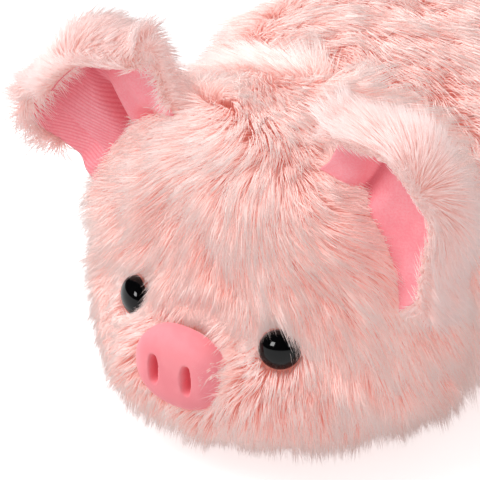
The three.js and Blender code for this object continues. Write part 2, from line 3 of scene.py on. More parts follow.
import bpy
import bmesh
import numpy as np
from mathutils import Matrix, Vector


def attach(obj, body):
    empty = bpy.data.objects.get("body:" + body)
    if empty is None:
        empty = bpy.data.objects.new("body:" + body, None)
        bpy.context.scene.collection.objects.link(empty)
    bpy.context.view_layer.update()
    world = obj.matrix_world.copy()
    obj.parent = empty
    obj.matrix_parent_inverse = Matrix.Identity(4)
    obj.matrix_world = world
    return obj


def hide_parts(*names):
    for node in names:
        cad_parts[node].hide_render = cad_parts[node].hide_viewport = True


# A plush pig lying on its belly. Metres, +Z up, it faces -Y and its left side is +X.
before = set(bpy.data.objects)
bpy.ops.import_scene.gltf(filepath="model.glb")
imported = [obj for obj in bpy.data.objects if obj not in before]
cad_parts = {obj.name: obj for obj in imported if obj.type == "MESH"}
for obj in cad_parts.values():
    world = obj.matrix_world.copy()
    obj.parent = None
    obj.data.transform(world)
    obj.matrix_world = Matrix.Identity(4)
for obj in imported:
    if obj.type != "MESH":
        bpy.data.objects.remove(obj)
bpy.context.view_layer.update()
mm = 0.001
degree = math.radians(1)
up = np.array([0.0, 0.0, 1.0])


# The camera stands where the photograph was taken from.
view = {
    "azimuth": 36 * degree, "elevation": 30 * degree, "distance": 1.6,
    "target": (-12.6 * mm, -129.5 * mm, 66.5 * mm), "lens": 336, "filmWidth": 36,
    "clip": (0.05, 60),
}


# The level direction that points away from the pig at an azimuth, raised by an elevation
def skyWay(azimuth, elevation):
    level = math.cos(elevation)
    return np.array([math.sin(azimuth) * level, -math.cos(azimuth) * level, math.sin(elevation)])


# The camera's own directions: to its right, up, and back towards it
def viewWays():
    right = np.array([math.cos(view["azimuth"]), math.sin(view["azimuth"]), 0])
    back = skyWay(view["azimuth"], view["elevation"])
    return right, np.cross(back, right), back


# Stands a camera or a lamp off from a place, so that it looks back at it.
def standOff(holder, place, way, distance):
    way = Vector(way)
    holder.location = Vector(place) + way * distance
    holder.rotation_mode = "QUATERNION"
    holder.rotation_quaternion = (-way).to_track_quat("-Z", "Y")
    bpy.context.scene.collection.objects.link(holder)


def makeCamera():
    data = bpy.data.cameras.new("camera")
    data.lens = view["lens"]
    data.sensor_width = view["filmWidth"]
    data.clip_start, data.clip_end = view["clip"]
    camera = bpy.data.objects.new("camera", data)
    standOff(camera, view["target"], viewWays()[2], view["distance"])
    bpy.context.scene.camera = camera


# Small helpers on whole arrays

# A signed power that squares off a circle: 2 keeps it round, more makes it blunter.
def blunt(value, power):
    return np.sign(value) * np.abs(value) ** (2 / power)


def lengthOf(vectors):
    return np.linalg.norm(vectors, axis=-1)


def unit(vectors):
    length = np.linalg.norm(vectors, axis=-1, keepdims=True)
    return vectors / np.maximum(length, 1e-12)


def smooth(value, low, high):
    share = np.clip((value - low) / (high - low), 0, 1)
    return share * share * (3 - 2 * share)


# A bell that is 1 at its middle.
def bump(value, middle, width):
    return np.exp(-(((value - middle) / width) ** 2))


# What is left of a direction when its part along the normal is taken away.
def tangent(direction, normal):
    along = np.sum(direction * normal, axis=-1, keepdims=True)
    return unit(direction - along * normal)


# A slow wavy value from -1 to 1: the mean of a few sine waves that run in random directions.
def waves(points, length, seed):
    rng = np.random.default_rng(seed)
    total = np.zeros(points.shape[:-1])
    for _ in range(5):
        way = unit(rng.normal(size=3))
        stretch = rng.uniform(0.7, 1.4)
        total += np.sin(points @ way * (2 * math.pi / (length * stretch)) + rng.uniform(0, 2 * math.pi))
    return total / 3


def roundTurn(count):
    return np.linspace(0, 2 * math.pi, count, endpoint=False)


# Directions from their parts along X, Y and Z, of which some may be single numbers
def wayOf(x, y, z):
    return np.stack(np.broadcast_arrays(x, y, z), -1)


def mirrorX(points, side):
    return points * np.array([side, 1, 1])


# Lines drawn in towards their first points by a share each
def shortened(lines, share):
    return lines[:, :1] + (lines - lines[:, :1]) * share.reshape(-1, 1, 1)


# How far points are from an axis through a place, and how far along it
def fromAxis(points, middle, axis):
    spoke = points - middle
    along = spoke @ axis
    return lengthOf(spoke - along[..., None] * axis), along


# Meshes from arrays

# Faces of a grid of points, row by row; wrap joins the last column to the first.
def gridFaces(rows, columns, wrap=False):
    last = columns if wrap else columns - 1
    row, column = np.meshgrid(np.arange(rows - 1), np.arange(last), indexing="ij")
    near, following = row * columns, (column + 1) % columns
    far = near + columns
    return np.stack([near + column, near + following, far + following, far + column], -1).reshape(-1, 4)


def newMesh(name, points, faces):
    mesh = bpy.data.meshes.new(name)
    points = np.asarray(points, np.float32)
    mesh.vertices.add(points.size // 3)
    mesh.vertices.foreach_set("co", points.ravel())
    faces = np.asarray(faces, np.int32)
    sides = faces.shape[1]
    mesh.loops.add(faces.size)
    mesh.loops.foreach_set("vertex_index", faces.ravel())
    mesh.polygons.add(len(faces))
    mesh.polygons.foreach_set("loop_start", np.arange(len(faces), dtype=np.int32) * sides)
    mesh.polygons.foreach_set("use_smooth", np.ones(len(faces), bool))
    mesh.update()
    return mesh


def addUv(mesh, name, perVertex):
    layer = mesh.uv_layers.new(name=name)
    index = np.empty(len(mesh.loops), np.int32)
    mesh.loops.foreach_get("vertex_index", index)
    layer.data.foreach_set("uv", np.asarray(perVertex, np.float32)[index].ravel())


# Merges the doubled points at poles and seams and turns every face outwards.
def welded(mesh, distance=1e-6):
    work = bmesh.new()
    work.from_mesh(mesh)
    bmesh.ops.remove_doubles(work, verts=work.verts, dist=distance)
    bmesh.ops.dissolve_degenerate(work, edges=work.edges, dist=distance)
    bmesh.ops.recalc_face_normals(work, faces=work.faces)
    for face in work.faces:
        face.smooth = True
    work.to_mesh(mesh)
    work.free()
    return mesh


def makePiece(name, mesh, material, body, stands=()):
    piece = bpy.data.objects.new(name, mesh)
    bpy.context.scene.collection.objects.link(piece)
    mesh.materials.append(material)
    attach(piece, body)
    if stands:
        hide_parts(*stands)
    return piece


# A closed skin between an outer and an inner grid of points, with a rim round its border.
def skinMesh(name, outer, inner, uv=None):
    rows, columns = outer.shape[:2]
    count = rows * columns
    quads = gridFaces(rows, columns)
    border = np.concatenate([
        np.arange(columns - 1),
        np.arange(rows - 1) * columns + columns - 1,
        (rows - 1) * columns + np.arange(columns - 1, 0, -1),
        np.arange(rows - 1, 0, -1) * columns,
    ])
    onward = np.roll(border, -1)
    rim = np.stack([border, onward, onward + count, border + count], -1)
    faces = np.concatenate([quads, quads[:, ::-1] + count, rim])
    mesh = newMesh(name, np.concatenate([outer.reshape(-1, 3), inner.reshape(-1, 3)]), faces)
    if uv is not None:
        addUv(mesh, "cloth", np.concatenate([uv.reshape(-1, 2)] * 2))
    return welded(mesh)


# Forms of the pig, the same as in its solid model

head = {
    "middleY": -120 * mm, "middleZ": 52 * mm, "halfWidth": 74 * mm, "top": 76 * mm,
    "bottom": 52.5 * mm, "front": 45 * mm, "rear": 62 * mm, "frontPower": 2.8, "rearPower": 2.3,
    "sectionPower": 2.3, "muzzle": 21 * mm, "muzzleZ": 26 * mm, "muzzleHalfWidth": 46 * mm,
    "muzzleHalfHeight": 25 * mm,
}
trunk = {
    "middleY": 0.0, "middleZ": 56 * mm, "halfWidth": 87 * mm, "top": 68 * mm, "bottom": 56.5 * mm,
    "front": 100 * mm, "rear": 105 * mm, "frontPower": 4, "rearPower": 2.3, "sectionPower": 2.5,
    "muzzle": 0.0,
}
neckY = -85 * mm
bellySeamZ = 20 * mm
seamGap = 0.3 * mm
peltInset = 7 * mm  # the pile stands on its backing this far inside the form
backing = 2 * mm
floorGap = 0.8 * mm


def muzzleAt(form, x, z):
    if not form["muzzle"]:
        return np.zeros(np.shape(x))
    across = x / form["muzzleHalfWidth"]
    rise = (z - form["muzzleZ"]) / form["muzzleHalfHeight"]
    return form["muzzle"] * np.exp(-((across ** 2 + rise ** 2) ** 2) / 2)


# A blunt oval: along runs from the front pole to the rear one, around goes round the side.
# x = width * girth * cos, z = middle + height * girth * sin, y = middle - reach * cos(along),
# each sine and cosine squared off, and the muzzle pushed out in front.
def ovalPoints(form, inset, along, around):
    back = -np.cos(along)
    front = back < 0
    power = np.where(front, form["frontPower"], form["rearPower"])
    reach = np.where(front, form["front"], form["rear"]) - inset
    girth = np.maximum(np.sin(along), 0) ** (2 / power)
    rise = np.sin(around)
    height = np.where(rise > 0, form["top"], form["bottom"]) - inset
    x = (form["halfWidth"] - inset) * girth * blunt(np.cos(around), form["sectionPower"])
    z = form["middleZ"] + height * girth * blunt(rise, form["sectionPower"])
    y = form["middleY"] + reach * blunt(back, power)
    y = y - np.where(front, muzzleAt(form, x, z) * np.abs(back), 0)
    return np.stack([x, y, z], -1)


# How far out a point lies in that oval: below 1 inside, 1 on it, and what it is raised to.
def ovalDepth(form, inset, points):
    x, y, z = points[..., 0], points[..., 1], points[..., 2]
    across = np.abs(x) / (form["halfWidth"] - inset)
    height = np.where(z > form["middleZ"], form["top"], form["bottom"]) - inset
    rise = np.abs(z - form["middleZ"]) / height
    girth = (across ** form["sectionPower"] + rise ** form["sectionPower"]) ** (1 / form["sectionPower"])
    front = y < form["middleY"]
    power = np.where(front, form["frontPower"], form["rearPower"])
    reach = np.where(front, form["front"], form["rear"]) - inset
    level = np.clip(1 - girth ** power, 0, 1) ** (1 / power)
    swell = np.where(front, muzzleAt(form, x, z) * level ** (power / 2), 0)
    length = np.maximum(np.abs(y - form["middleY"]) - swell, 0) / reach
    return (girth ** power + length ** power) ** (1 / power)


def middleOf(form):
    return np.array([0, form["middleY"], form["middleZ"]])


# Points inside the oval move straight away from its middle until they are on it.
def keptOut(form, inset, points):
    depth = np.maximum(ovalDepth(form, inset, points), 0.05)
    middle = middleOf(form)
    grown = middle + (points - middle) / depth[..., None]
    return np.where(depth[..., None] < 1, grown, points)


# The angle along the form at which it is cut by a plane across Y.
def alongAt(form, inset, y):
    front = y < form["middleY"]
    power = form["frontPower"] if front else form["rearPower"]
    reach = (form["front"] if front else form["rear"]) - inset
    back = (abs(y - form["middleY"]) / reach) ** (power / 2)
    return math.acos(back if front else -back)


# The angle round the form at which it passes the belly seam, for each place along it.
def seamAngle(form, inset, along):
    power = np.where(np.cos(along) > 0, form["frontPower"], form["rearPower"])
    girth = np.maximum(np.sin(along), 1e-6) ** (2 / power)
    drop = (form["middleZ"] - bellySeamZ) / ((form["bottom"] - inset) * girth)
    return -np.arcsin(np.clip(drop, 0, 1) ** (form["sectionPower"] / 2))


def aboveFloor(points):
    lifted = points.copy()
    lifted[..., 2] = np.maximum(lifted[..., 2], floorGap)
    return lifted


# The outside of the fabric under the pile, one grid per panel, at a depth inside the form
panelGrid = {"headRows": 60, "headColumns": 74, "backRows": 64, "backColumns": 70, "bellyColumns": 48,
             "bellyTries": 2000}


# The pile is shorter round the snout and the eyes, so its backing comes nearer the form there.
shortPile = {
    "snoutRaise": 4 * mm, "snoutStart": (0.95, 1.03), "snoutEnd": (1.3, 2.4), "eyeRaise": 2.4 * mm,
    "eyeStart": 8 * mm, "eyeReach": 15 * mm,
}


def headPanel(side, inset):
    rows, columns = panelGrid["headRows"], panelGrid["headColumns"]
    along = np.linspace(0, alongAt(head, inset, neckY - seamGap / 2), rows)[:, None]
    around = np.linspace(-math.pi / 2, math.pi / 2, columns)[None, :]
    points = ovalPoints(head, inset, along, around)
    radius = snoutRadius(points)
    raised = smooth(radius, *shortPile["snoutStart"]) * (1 - smooth(radius, *shortPile["snoutEnd"]))
    raised = shortPile["snoutRaise"] * raised
    for place in eyePlaces.values():
        aside = lengthOf(points - place["middle"])
        near = 1 - smooth(aside, shortPile["eyeStart"], shortPile["eyeReach"])
        raised = np.maximum(raised, shortPile["eyeRaise"] * near)
    points = ovalPoints(head, inset - raised, along, around)
    points[..., 0] = np.maximum(points[..., 0], seamGap / 2)
    return aboveFloor(mirrorX(points, side))


# How far a place is from the middle of the snout seen from the front: 1 is its outline. Behind
# the face it counts as far away.
def snoutRadius(points):
    across = points[..., 0] / snout["halfWidth"]
    rise = (points[..., 2] - snout["z"]) / snout["halfHeight"]
    behind = smooth(points[..., 1], *snout["faceEnds"])
    return np.sqrt(across ** 2 + rise ** 2) + snout["farBehind"] * behind


def backPanel(side, inset):
    rows, columns = panelGrid["backRows"], panelGrid["backColumns"]
    along = np.linspace(alongAt(trunk, inset, neckY + seamGap / 2), math.pi, rows)[:, None]
    low = seamAngle(trunk, inset, along)
    around = low + (math.pi / 2 - low) * np.linspace(0, 1, columns)[None, :]
    points = ovalPoints(trunk, inset, along, around)
    points[..., 0] = np.maximum(points[..., 0], seamGap / 2)
    points[..., 2] = np.maximum(points[..., 2], bellySeamZ + seamGap / 2)
    return mirrorX(points, side)


def bellyPanel(inset):
    rows, columns = panelGrid["backRows"], panelGrid["bellyColumns"]
    tries = np.linspace(math.pi / 2, math.pi, panelGrid["bellyTries"])
    end = tries[np.argmax(seamAngle(trunk, inset, tries) <= -math.pi / 2 + 1e-3)]
    along = np.linspace(alongAt(trunk, inset, neckY + seamGap / 2), end, rows)[:, None]
    edge = seamAngle(trunk, inset, along)
    around = -math.pi / 2 + (math.pi / 2 + edge) * np.linspace(-1, 1, columns)[None, :]
    points = ovalPoints(trunk, inset, along, around)
    points[..., 2] = np.minimum(points[..., 2], bellySeamZ - seamGap / 2)
    return aboveFloor(points)


# Ears: a sheet that rises from its seam and rolls over forwards at the top.
ear = {
    "forward": 16 * mm, "upperAngle": 67 * degree, "lowerAngle": 21 * degree, "rise": 27 * mm,
    "foldRadius": 9 * mm, "foldAngle": 140 * degree, "flap": 5 * mm, "halfWidth": 35 * mm,
    "cup": 8 * mm, "pinch": 5 * mm, "pinchPlace": -0.3, "pinchWidth": 0.16, "widest": 0.45,
    "tipPower": 3, "hingeForward": 20, "hingeBack": 25,
    "drawnDown": {1: 7 * mm, -1: 1.5 * mm},
    "tipBack": {1: 6 * mm, -1: 3.5 * mm},
    "upperBack": {1: 0.1, -1: 0.1},
    "lowerBack": {1: 0.0, -1: 0.02},
    "upperDrop": {1: 0.48, -1: 0.3},
    "lowerDrop": {1: 0.7, -1: -0.2},
    "dropFrom": 0.4, "dropTighter": 0.5, "drawnFrom": 0.3, "drawnPower": 1.5, "rootInset": 4 * mm,
    "rootDeepest": -15 * mm, "backing": 3.2 * mm, "backingFollows": 0.7, "lining": 1.4 * mm,
    "liningGap": 0.1 * mm, "liningMargin": 0.02, "rows": 64, "columns": 76, "halvings": 18,
}


def earSeamPoint(angle):
    ahead = (ear["forward"] / head["front"]) ** head["frontPower"]
    girth = (1 - ahead) ** (1 / head["frontPower"])
    return np.array([
        head["halfWidth"] * girth * blunt(math.cos(angle), head["sectionPower"]),
        head["middleY"] - ear["forward"],
        head["middleZ"] + head["top"] * girth * blunt(math.sin(angle), head["sectionPower"]),
    ])


earUpper = earSeamPoint(ear["upperAngle"])
earLower = earSeamPoint(ear["lowerAngle"])
earAlongSeam = unit(earLower - earUpper)
earAhead = np.array([0.0, -1.0, 0.0])
earOut = np.cross(earAhead, earAlongSeam)
earMiddle = (earUpper + earLower) / 2
earBaseHalfWidth = np.linalg.norm(earLower - earUpper) / 2
earCrown = earSeamPoint((ear["upperAngle"] + ear["lowerAngle"]) / 2)
earHinge = earMiddle + earOut * np.dot(earCrown - earMiddle, earOut)
earLength = ear["rise"] + ear["foldRadius"] * ear["foldAngle"] + ear["flap"]


# Folds of the lining beyond those of the form; the pig's right ear has the deep ones.
earFolds = {
    1: {"creaseAt": -0.35, "creaseSlant": 0.3, "tuckAt": 0.7, "tuck": 0.5 * mm, "lobe": 1.5 * mm,
        "panel": 1 * mm, "crease": 3 * mm, "bulge": 4 * mm},
    -1: {"creaseAt": 0.16, "creaseSlant": 0.3, "tuckAt": 0.62, "tuck": 4 * mm, "lobe": 6 * mm,
         "panel": 1.2 * mm, "crease": 6 * mm, "bulge": 0.0},
}


# Towards its ends the fold comes down to the seam by this share of its height.
def foldDrop(across, side):
    upper = ear["upperDrop"][side] * smooth(-across, ear["dropFrom"], 1)
    return upper + ear["lowerDrop"][side] * smooth(across, ear["dropFrom"], 1)


# across is -1 at the upper end of the seam and 1 at the lower one, along is a length from it.
# The sheet rises straight, rolls over an arc of foldRadius and ends in a straight flap.
def earPoints(across, along, height, side):
    down = foldDrop(across, side)
    rise = ear["rise"] * (1 - down)
    radius = ear["foldRadius"] * (1 - ear["dropTighter"] * down)
    share = np.maximum(along, 0) / earLength
    grow = smooth(share, 0, ear["widest"])
    past = np.clip((share - ear["widest"]) / (1 - ear["widest"]), 0, 1)
    tip = ear["halfWidth"] * (1 - past ** ear["tipPower"]) ** (1 / ear["tipPower"])
    base = earBaseHalfWidth + (ear["halfWidth"] - earBaseHalfWidth) * grow
    halfWidth = np.where(share < ear["widest"], base, tip)
    turned = np.clip((along - rise) / radius, 0, ear["foldAngle"])
    straight = np.minimum(along, rise)
    flap = np.maximum(0, along - rise - radius * ear["foldAngle"])
    out = straight + radius * np.sin(turned) + flap * np.cos(turned)
    ahead = radius * (1 - np.cos(turned)) + flap * np.sin(turned)
    crease = bump(across, ear["pinchPlace"], ear["pinchWidth"])
    lift = height + ear["cup"] * across ** 2 - ear["pinch"] * (1 - np.minimum(share, 1)) * crease
    drawn = ear["drawnDown"][side] * smooth(across, ear["drawnFrom"], 1)
    drawn = drawn * (1 - np.minimum(share, 1)) ** ear["drawnPower"]
    return (
        earMiddle
        + earAlongSeam * (across * halfWidth + drawn)[..., None]
        + earOut * (out - lift * np.sin(turned))[..., None]
        + earAhead * (ahead + lift * np.cos(turned))[..., None]
    )


# Turns points about an axis through a pivot: the part along the axis stays.
def turned(points, pivot, axis, angle):
    spoke = points - pivot
    along = (spoke @ axis)[..., None] * axis
    across = spoke - along
    return pivot + along + across * math.cos(angle) + np.cross(axis, across) * math.sin(angle)


# True where a point that turns with a hinge comes into the head or the body at any angle.
def meetsTrunk(points, pivot, axis, low, high, gap):
    met = np.zeros(points.shape[:-1], bool)
    for angle in np.linspace(math.radians(low), math.radians(high), 7):
        moved = turned(points, pivot, axis, angle)
        met |= ovalDepth(head, -gap, moved) < 1
        met |= ovalDepth(trunk, -gap, moved) < 1
    return met


# The place on each line of the ear where it stands this deep in the pile of the head, found by
# halving. The backing of the head lies deeper, so the ear stays clear of it as it folds.
def earRoots(across, height, side):
    low = np.full(across.shape, ear["rootDeepest"])
    high = np.full(across.shape, ear["rise"])
    limits = (-ear["hingeBack"], ear["hingeForward"])
    for _ in range(ear["halvings"]):
        middle = (low + high) / 2
        points = earPoints(across, middle, height, side)
        met = meetsTrunk(points, earHinge, earAlongSeam, *limits, -ear["rootInset"])
        low = np.where(met, middle, low)
        high = np.where(met, high, middle)
    return high


def earSheet(rows, columns, height, side, margin=0.0):
    across = np.linspace(-1 + ear["upperBack"][side] + margin, 1 - ear["lowerBack"][side] - margin, columns)
    start = earRoots(across, np.full(columns, height), side)
    end = earLength * (1 - margin) - ear["tipBack"][side] - ear["rise"] * foldDrop(across, side)
    share = np.linspace(0, 1, rows)[:, None]
    along = start + (end - start) * share
    return np.broadcast_to(across, along.shape), along


# Legs: short forms that lie along the floor.
leg = {
    "radius": 20 * mm, "middleZ": 19.5 * mm, "halfLength": 34 * mm, "power": 2.6, "swing": 12,
    "inset": 5.5 * mm, "fillingGap": 0.5 * mm, "rows": 40, "columns": 52, "pileRows": 56,
    "pileColumns": 73, "halvings": 16,
}
legPlaces = {
    "front_leg": {"x": 76 * mm, "y": -50 * mm, "yaw": 60 * degree},
    "rear_leg": {"x": 72 * mm, "y": 70 * mm, "yaw": 150 * degree},
}


# A blunt rod along the floor: girth and length are a sine and a cosine squared off.
def legPoints(place, inset, along, around):
    girth = (leg["radius"] - inset) * blunt(np.maximum(np.sin(along), 0), leg["power"])
    length = (leg["halfLength"] - inset) * blunt(np.cos(along), leg["power"])
    ahead = skyWay(place["yaw"], 0)
    across = np.cross(ahead, up)
    middle = np.array([place["x"], place["y"], leg["middleZ"]])
    return (
        middle
        + ahead * length[..., None]
        + across * (girth * np.cos(around))[..., None]
        + up * (girth * np.sin(around))[..., None]
    )


# Where the middle line of the leg leaves the body, which is where it turns.
def legPivot(place):
    ahead = skyWay(place["yaw"], 0)
    middle = np.array([place["x"], place["y"], leg["middleZ"]])
    steps = np.linspace(-leg["halfLength"], leg["halfLength"], 121)
    line = middle + ahead * steps[:, None]
    return line[np.argmax(ovalDepth(trunk, 0, line) >= 1)], ahead


# Points of the leg that would meet the body slide outwards along the leg until they are clear.
def clearedLeg(points, place, gap):
    pivot, ahead = legPivot(place)
    low = np.zeros(points.shape[:-1])
    high = np.full(points.shape[:-1], 2 * leg["halfLength"])
    for _ in range(leg["halvings"]):
        middle = (low + high) / 2
        met = meetsTrunk(points + ahead * middle[..., None], pivot, up, -leg["swing"], leg["swing"], gap)
        low = np.where(met, middle, low)
        high = np.where(met, high, middle)
    met = meetsTrunk(points, pivot, up, -leg["swing"], leg["swing"], gap)
    return points + ahead * np.where(met, high, 0)[..., None]


# Materials

def srgb(red, green, blue):
    channels = np.array([red, green, blue]) / 255
    linear = np.where(channels <= 0.04045, channels / 12.92, ((channels + 0.055) / 1.055) ** 2.4)
    return (*[float(value) for value in linear], 1.0)


def newMaterial(name):
    material = bpy.data.materials.new(name)
    material.use_nodes = True
    nodes = material.node_tree.nodes
    return material, nodes, material.node_tree.links, nodes["Principled BSDF"]


# The two numbers of a map, as outputs named X and Y
def mapParts(nodes, name):
    uv = nodes.new("ShaderNodeUVMap")
    uv.uv_map = name
    parts = nodes.new("ShaderNodeSeparateXYZ")
    fed(nodes, parts.inputs[0], uv.outputs["UV"])
    return parts.outputs


# A node group with its named inputs and outputs, each with its kind
def newGroup(name, given, made):
    group = bpy.data.node_groups.new(name, "ShaderNodeTree")
    for way, sockets in (("INPUT", given), ("OUTPUT", made)):
        for socket, kind in sockets.items():
            group.interface.new_socket(name=socket, in_out=way, socket_type="NodeSocket" + kind)
    nodes = group.nodes
    return group, nodes.new("NodeGroupInput").outputs, nodes.new("NodeGroupOutput").inputs


# Sets plain values of a node by the names of its inputs.
def finished(shader, values):
    for name, value in values.items():
        shader.inputs[name].default_value = value


# Gives an input a plain value, or links it to an output.
def fed(nodes, socket, value):
    if isinstance(value, bpy.types.NodeSocket):
        nodes.id_data.links.new(value, socket)
    else:
        socket.default_value = value


def mixColour(nodes, factor, first, second, blend="MIX"):
    mix = nodes.new("ShaderNodeMix")
    mix.data_type = "RGBA"
    mix.blend_type = blend
    for socket, value in ((mix.inputs[0], factor), (mix.inputs[6], first), (mix.inputs[7], second)):
        fed(nodes, socket, value)
    return mix.outputs[2]


def mapRange(nodes, value, fromLow, fromHigh, toLow, toHigh, kind="SMOOTHSTEP"):
    node = nodes.new("ShaderNodeMapRange")
    node.interpolation_type = kind
    for place, number in enumerate((value, fromLow, fromHigh, toLow, toHigh)):
        fed(nodes, node.inputs[place], number)
    return node.outputs[0]


def mathNode(nodes, operation, *values):
    node = nodes.new("ShaderNodeMath")
    node.operation = operation
    for socket, value in zip(node.inputs, values):
        fed(nodes, socket, value)
    return node.outputs[0]


grainInputs = ("Scale", "Detail", "Low", "High", "Strength", "Depth")


# Grain: a fine noise over a surface, put out as its value, as a mask that rises from 0 to 1 between
# two of its values, and as a normal that it tilts.
def grainGroup():
    made = {"Value": "Float", "Mask": "Float", "Normal": "Vector"}
    group, given, result = newGroup("grain", dict.fromkeys(grainInputs, "Float"), made)
    nodes, links = group.nodes, group.links
    noise = nodes.new("ShaderNodeTexNoise")
    links.new(nodes.new("ShaderNodeTexCoord").outputs["Object"], noise.inputs["Vector"])
    mask = nodes.new("ShaderNodeMapRange")
    mask.interpolation_type = "SMOOTHSTEP"
    tilt = nodes.new("ShaderNodeBump")
    for name, node, socket in (
        ("Scale", noise, "Scale"),
        ("Detail", noise, "Detail"),
        ("Low", mask, "From Min"),
        ("High", mask, "From Max"),
        ("Strength", tilt, "Strength"),
        ("Depth", tilt, "Distance"),
    ):
        links.new(given[name], node.inputs[socket])
    links.new(noise.outputs[0], mask.inputs["Value"])
    links.new(noise.outputs[0], tilt.inputs["Height"])
    for name, node in (("Value", noise), ("Mask", mask), ("Normal", tilt)):
        links.new(node.outputs[0], result[name])
    return group


grain = grainGroup()


def grainNode(nodes, scale, detail, low=0.35, high=0.65, strength=0, depth=0):
    node = nodes.new("ShaderNodeGroup")
    node.node_tree = grain
    for name, value in zip(grainInputs, (scale, detail, low, high, strength, depth)):
        node.inputs[name].default_value = value
    return node.outputs


hairLook = {
    "toneShift": 0.55, "rootToMiddle": (0.05, 0.5), "middleToTip": (0.4, 0.95),
    "roughness": (0.85, 0.6), "glowFrom": (0.1, 0.8),
    "finish": {"Specular IOR Level": 0.25, "Emission Strength": 1},
}


# The colour of a hair from its tone and the place along it: root, middle, tip.
def pileColourGroup():
    wanted = {"Tone": "Float", "Along": "Float", "Root": "Color", "Middle": "Color", "Tip": "Color"}
    group, given, result = newGroup("pileColour", wanted, {"Colour": "Color", "Place": "Float"})
    nodes, links = group.nodes, group.links
    centred = mathNode(nodes, "SUBTRACT", given["Tone"], 0.5)
    shift = mathNode(nodes, "MULTIPLY", centred, hairLook["toneShift"])
    place = mathNode(nodes, "ADD", given["Along"], shift)
    low = mapRange(nodes, place, *hairLook["rootToMiddle"], 0, 1)
    high = mapRange(nodes, place, *hairLook["middleToTip"], 0, 1)
    lower = mixColour(nodes, low, given["Root"], given["Middle"])
    full = mixColour(nodes, high, lower, given["Tip"])
    links.new(full, result["Colour"])
    links.new(place, result["Place"])
    return group


pileGroup = pileColourGroup()
pileColours = {
    "pile": {
        "root": srgb(246, 180, 169),
        "middle": srgb(252, 217, 211),
        "tip": srgb(254, 238, 235),
        "glowRoot": srgb(114, 76, 70),
        "glowTip": srgb(132, 112, 108),
    },
    "earPile": {
        "root": srgb(242, 204, 197),
        "middle": srgb(245, 218, 214),
        "tip": srgb(247, 226, 224),
        "glowRoot": srgb(120, 95, 91),
        "glowTip": srgb(130, 112, 109),
    },
}


# Hair: u is the tone of the hair, v runs from its root to its tip.
def hairMaterial(name, colours):
    material, nodes, links, shader = newMaterial(name)
    parts = mapParts(nodes, "OFBake")
    colour = nodes.new("ShaderNodeGroup")
    colour.node_tree = pileGroup
    links.new(parts["X"], colour.inputs["Tone"])
    links.new(parts["Y"], colour.inputs["Along"])
    for key in ("root", "middle", "tip"):
        colour.inputs[key.title()].default_value = colours[key]
    links.new(colour.outputs["Colour"], shader.inputs["Base Color"])
    roughness = mapRange(nodes, parts["Y"], 0, 1, *hairLook["roughness"])
    links.new(roughness, shader.inputs["Roughness"])
    # A faint glow, redder at the roots, stands for the light that wanders between fine hairs.
    rise = mapRange(nodes, colour.outputs["Place"], *hairLook["glowFrom"], 0, 1)
    glow = mixColour(nodes, rise, colours["glowRoot"], colours["glowTip"])
    links.new(glow, shader.inputs["Emission Color"])
    finished(shader, hairLook["finish"])
    return material


# The woven backing between the roots of the pile, with a faint glow in the colour of the roots that is
# painted light
backingLook = {
    "fibres": {"scale": 900, "detail": 4, "strength": 0.8, "depth": 0.6 * mm},
    "patches": {"scale": 90, "detail": 3, "low": 0.3, "high": 0.7},
    "patchShade": 0.4,
    "finish": {"Roughness": 0.95, "Specular IOR Level": 0.1, "Emission Strength": 1},
}


def backingMaterial(name, light, dark, glow):
    material, nodes, links, shader = newMaterial(name)
    fibres = grainNode(nodes, **backingLook["fibres"])
    patches = grainNode(nodes, **backingLook["patches"])
    fine = mixColour(nodes, fibres["Mask"], dark, light)
    shade = mathNode(nodes, "MULTIPLY", patches["Mask"], backingLook["patchShade"])
    links.new(mixColour(nodes, shade, fine, dark), shader.inputs["Base Color"])
    links.new(fibres["Normal"], shader.inputs["Normal"])
    finished(shader, backingLook["finish"])
    # Painted light: the backing glows faintly like the roots of the pile.
    shader.inputs["Emission Color"].default_value = glow
    return material


# The short pink fabric of the ear linings and the tail: ribs, if any, a nap and slow darker patches. Painted
# shade darkens the rib grooves and, on the ears, the fabric under the fold and beside the crease, and the
# fabric glows faintly in its own colour as painted light.
liningLook = {
    "light": srgb(253, 168, 177), "dark": srgb(230, 118, 130), "rib": 1.36 * mm, "ribShade": 0.55,
    "ribSlant": 26 * degree, "plainShare": 0.15, "ribsFrom": -7 * mm, "ribsTo": -1 * mm,
    "deep": srgb(198, 76, 90), "shadeUnderFold": 0.4, "shadeBesideCrease": 0.64,
    "creaseEdge": (-1.4 * mm, 0.6 * mm), "creaseFade": 9 * mm, "foldFrom": (14 * mm, 34 * mm),
    "nap": {"scale": 1500, "detail": 4},
    "napHeight": 0.35, "napShade": 0.35,
    "drift": {"scale": 70, "detail": 2},
    "driftShade": 0.35,
    "bump": {"Strength": 0.9, "Distance": 0.16 * mm},
    "finish": {"Roughness": 0.85, "Specular IOR Level": 0.15, "Sheen Weight": 0.3, "Sheen Roughness": 0.4,
               "Emission Strength": 0.17},
}


# Painted shade: the fabric is darkened under the fold and on one side of the crease, where shade falls.
# The crease's line in the map is x = creaseAt * halfWidth - creaseSlant * halfWidth / length * y.
def foldShade(nodes, parts, colour, side):
    look = earFolds[side]
    slope = look["creaseSlant"] * ear["halfWidth"] / earLength
    slant = mathNode(nodes, "MULTIPLY", parts["Y"], slope)
    place = mathNode(nodes, "ADD", parts["X"], slant)
    aside = mathNode(nodes, "SUBTRACT", place, look["creaseAt"] * ear["halfWidth"])
    edge = mapRange(nodes, aside, *liningLook["creaseEdge"], 0, liningLook["shadeBesideCrease"])
    fall = mapRange(nodes, aside, liningLook["creaseEdge"][1], liningLook["creaseFade"], 1, 0)
    crease = mathNode(nodes, "MULTIPLY", edge, fall)
    fold = mapRange(nodes, parts["Y"], *liningLook["foldFrom"], 0, liningLook["shadeUnderFold"])
    both = mathNode(nodes, "MAXIMUM", crease, fold)
    return mixColour(nodes, both, colour, liningLook["deep"])


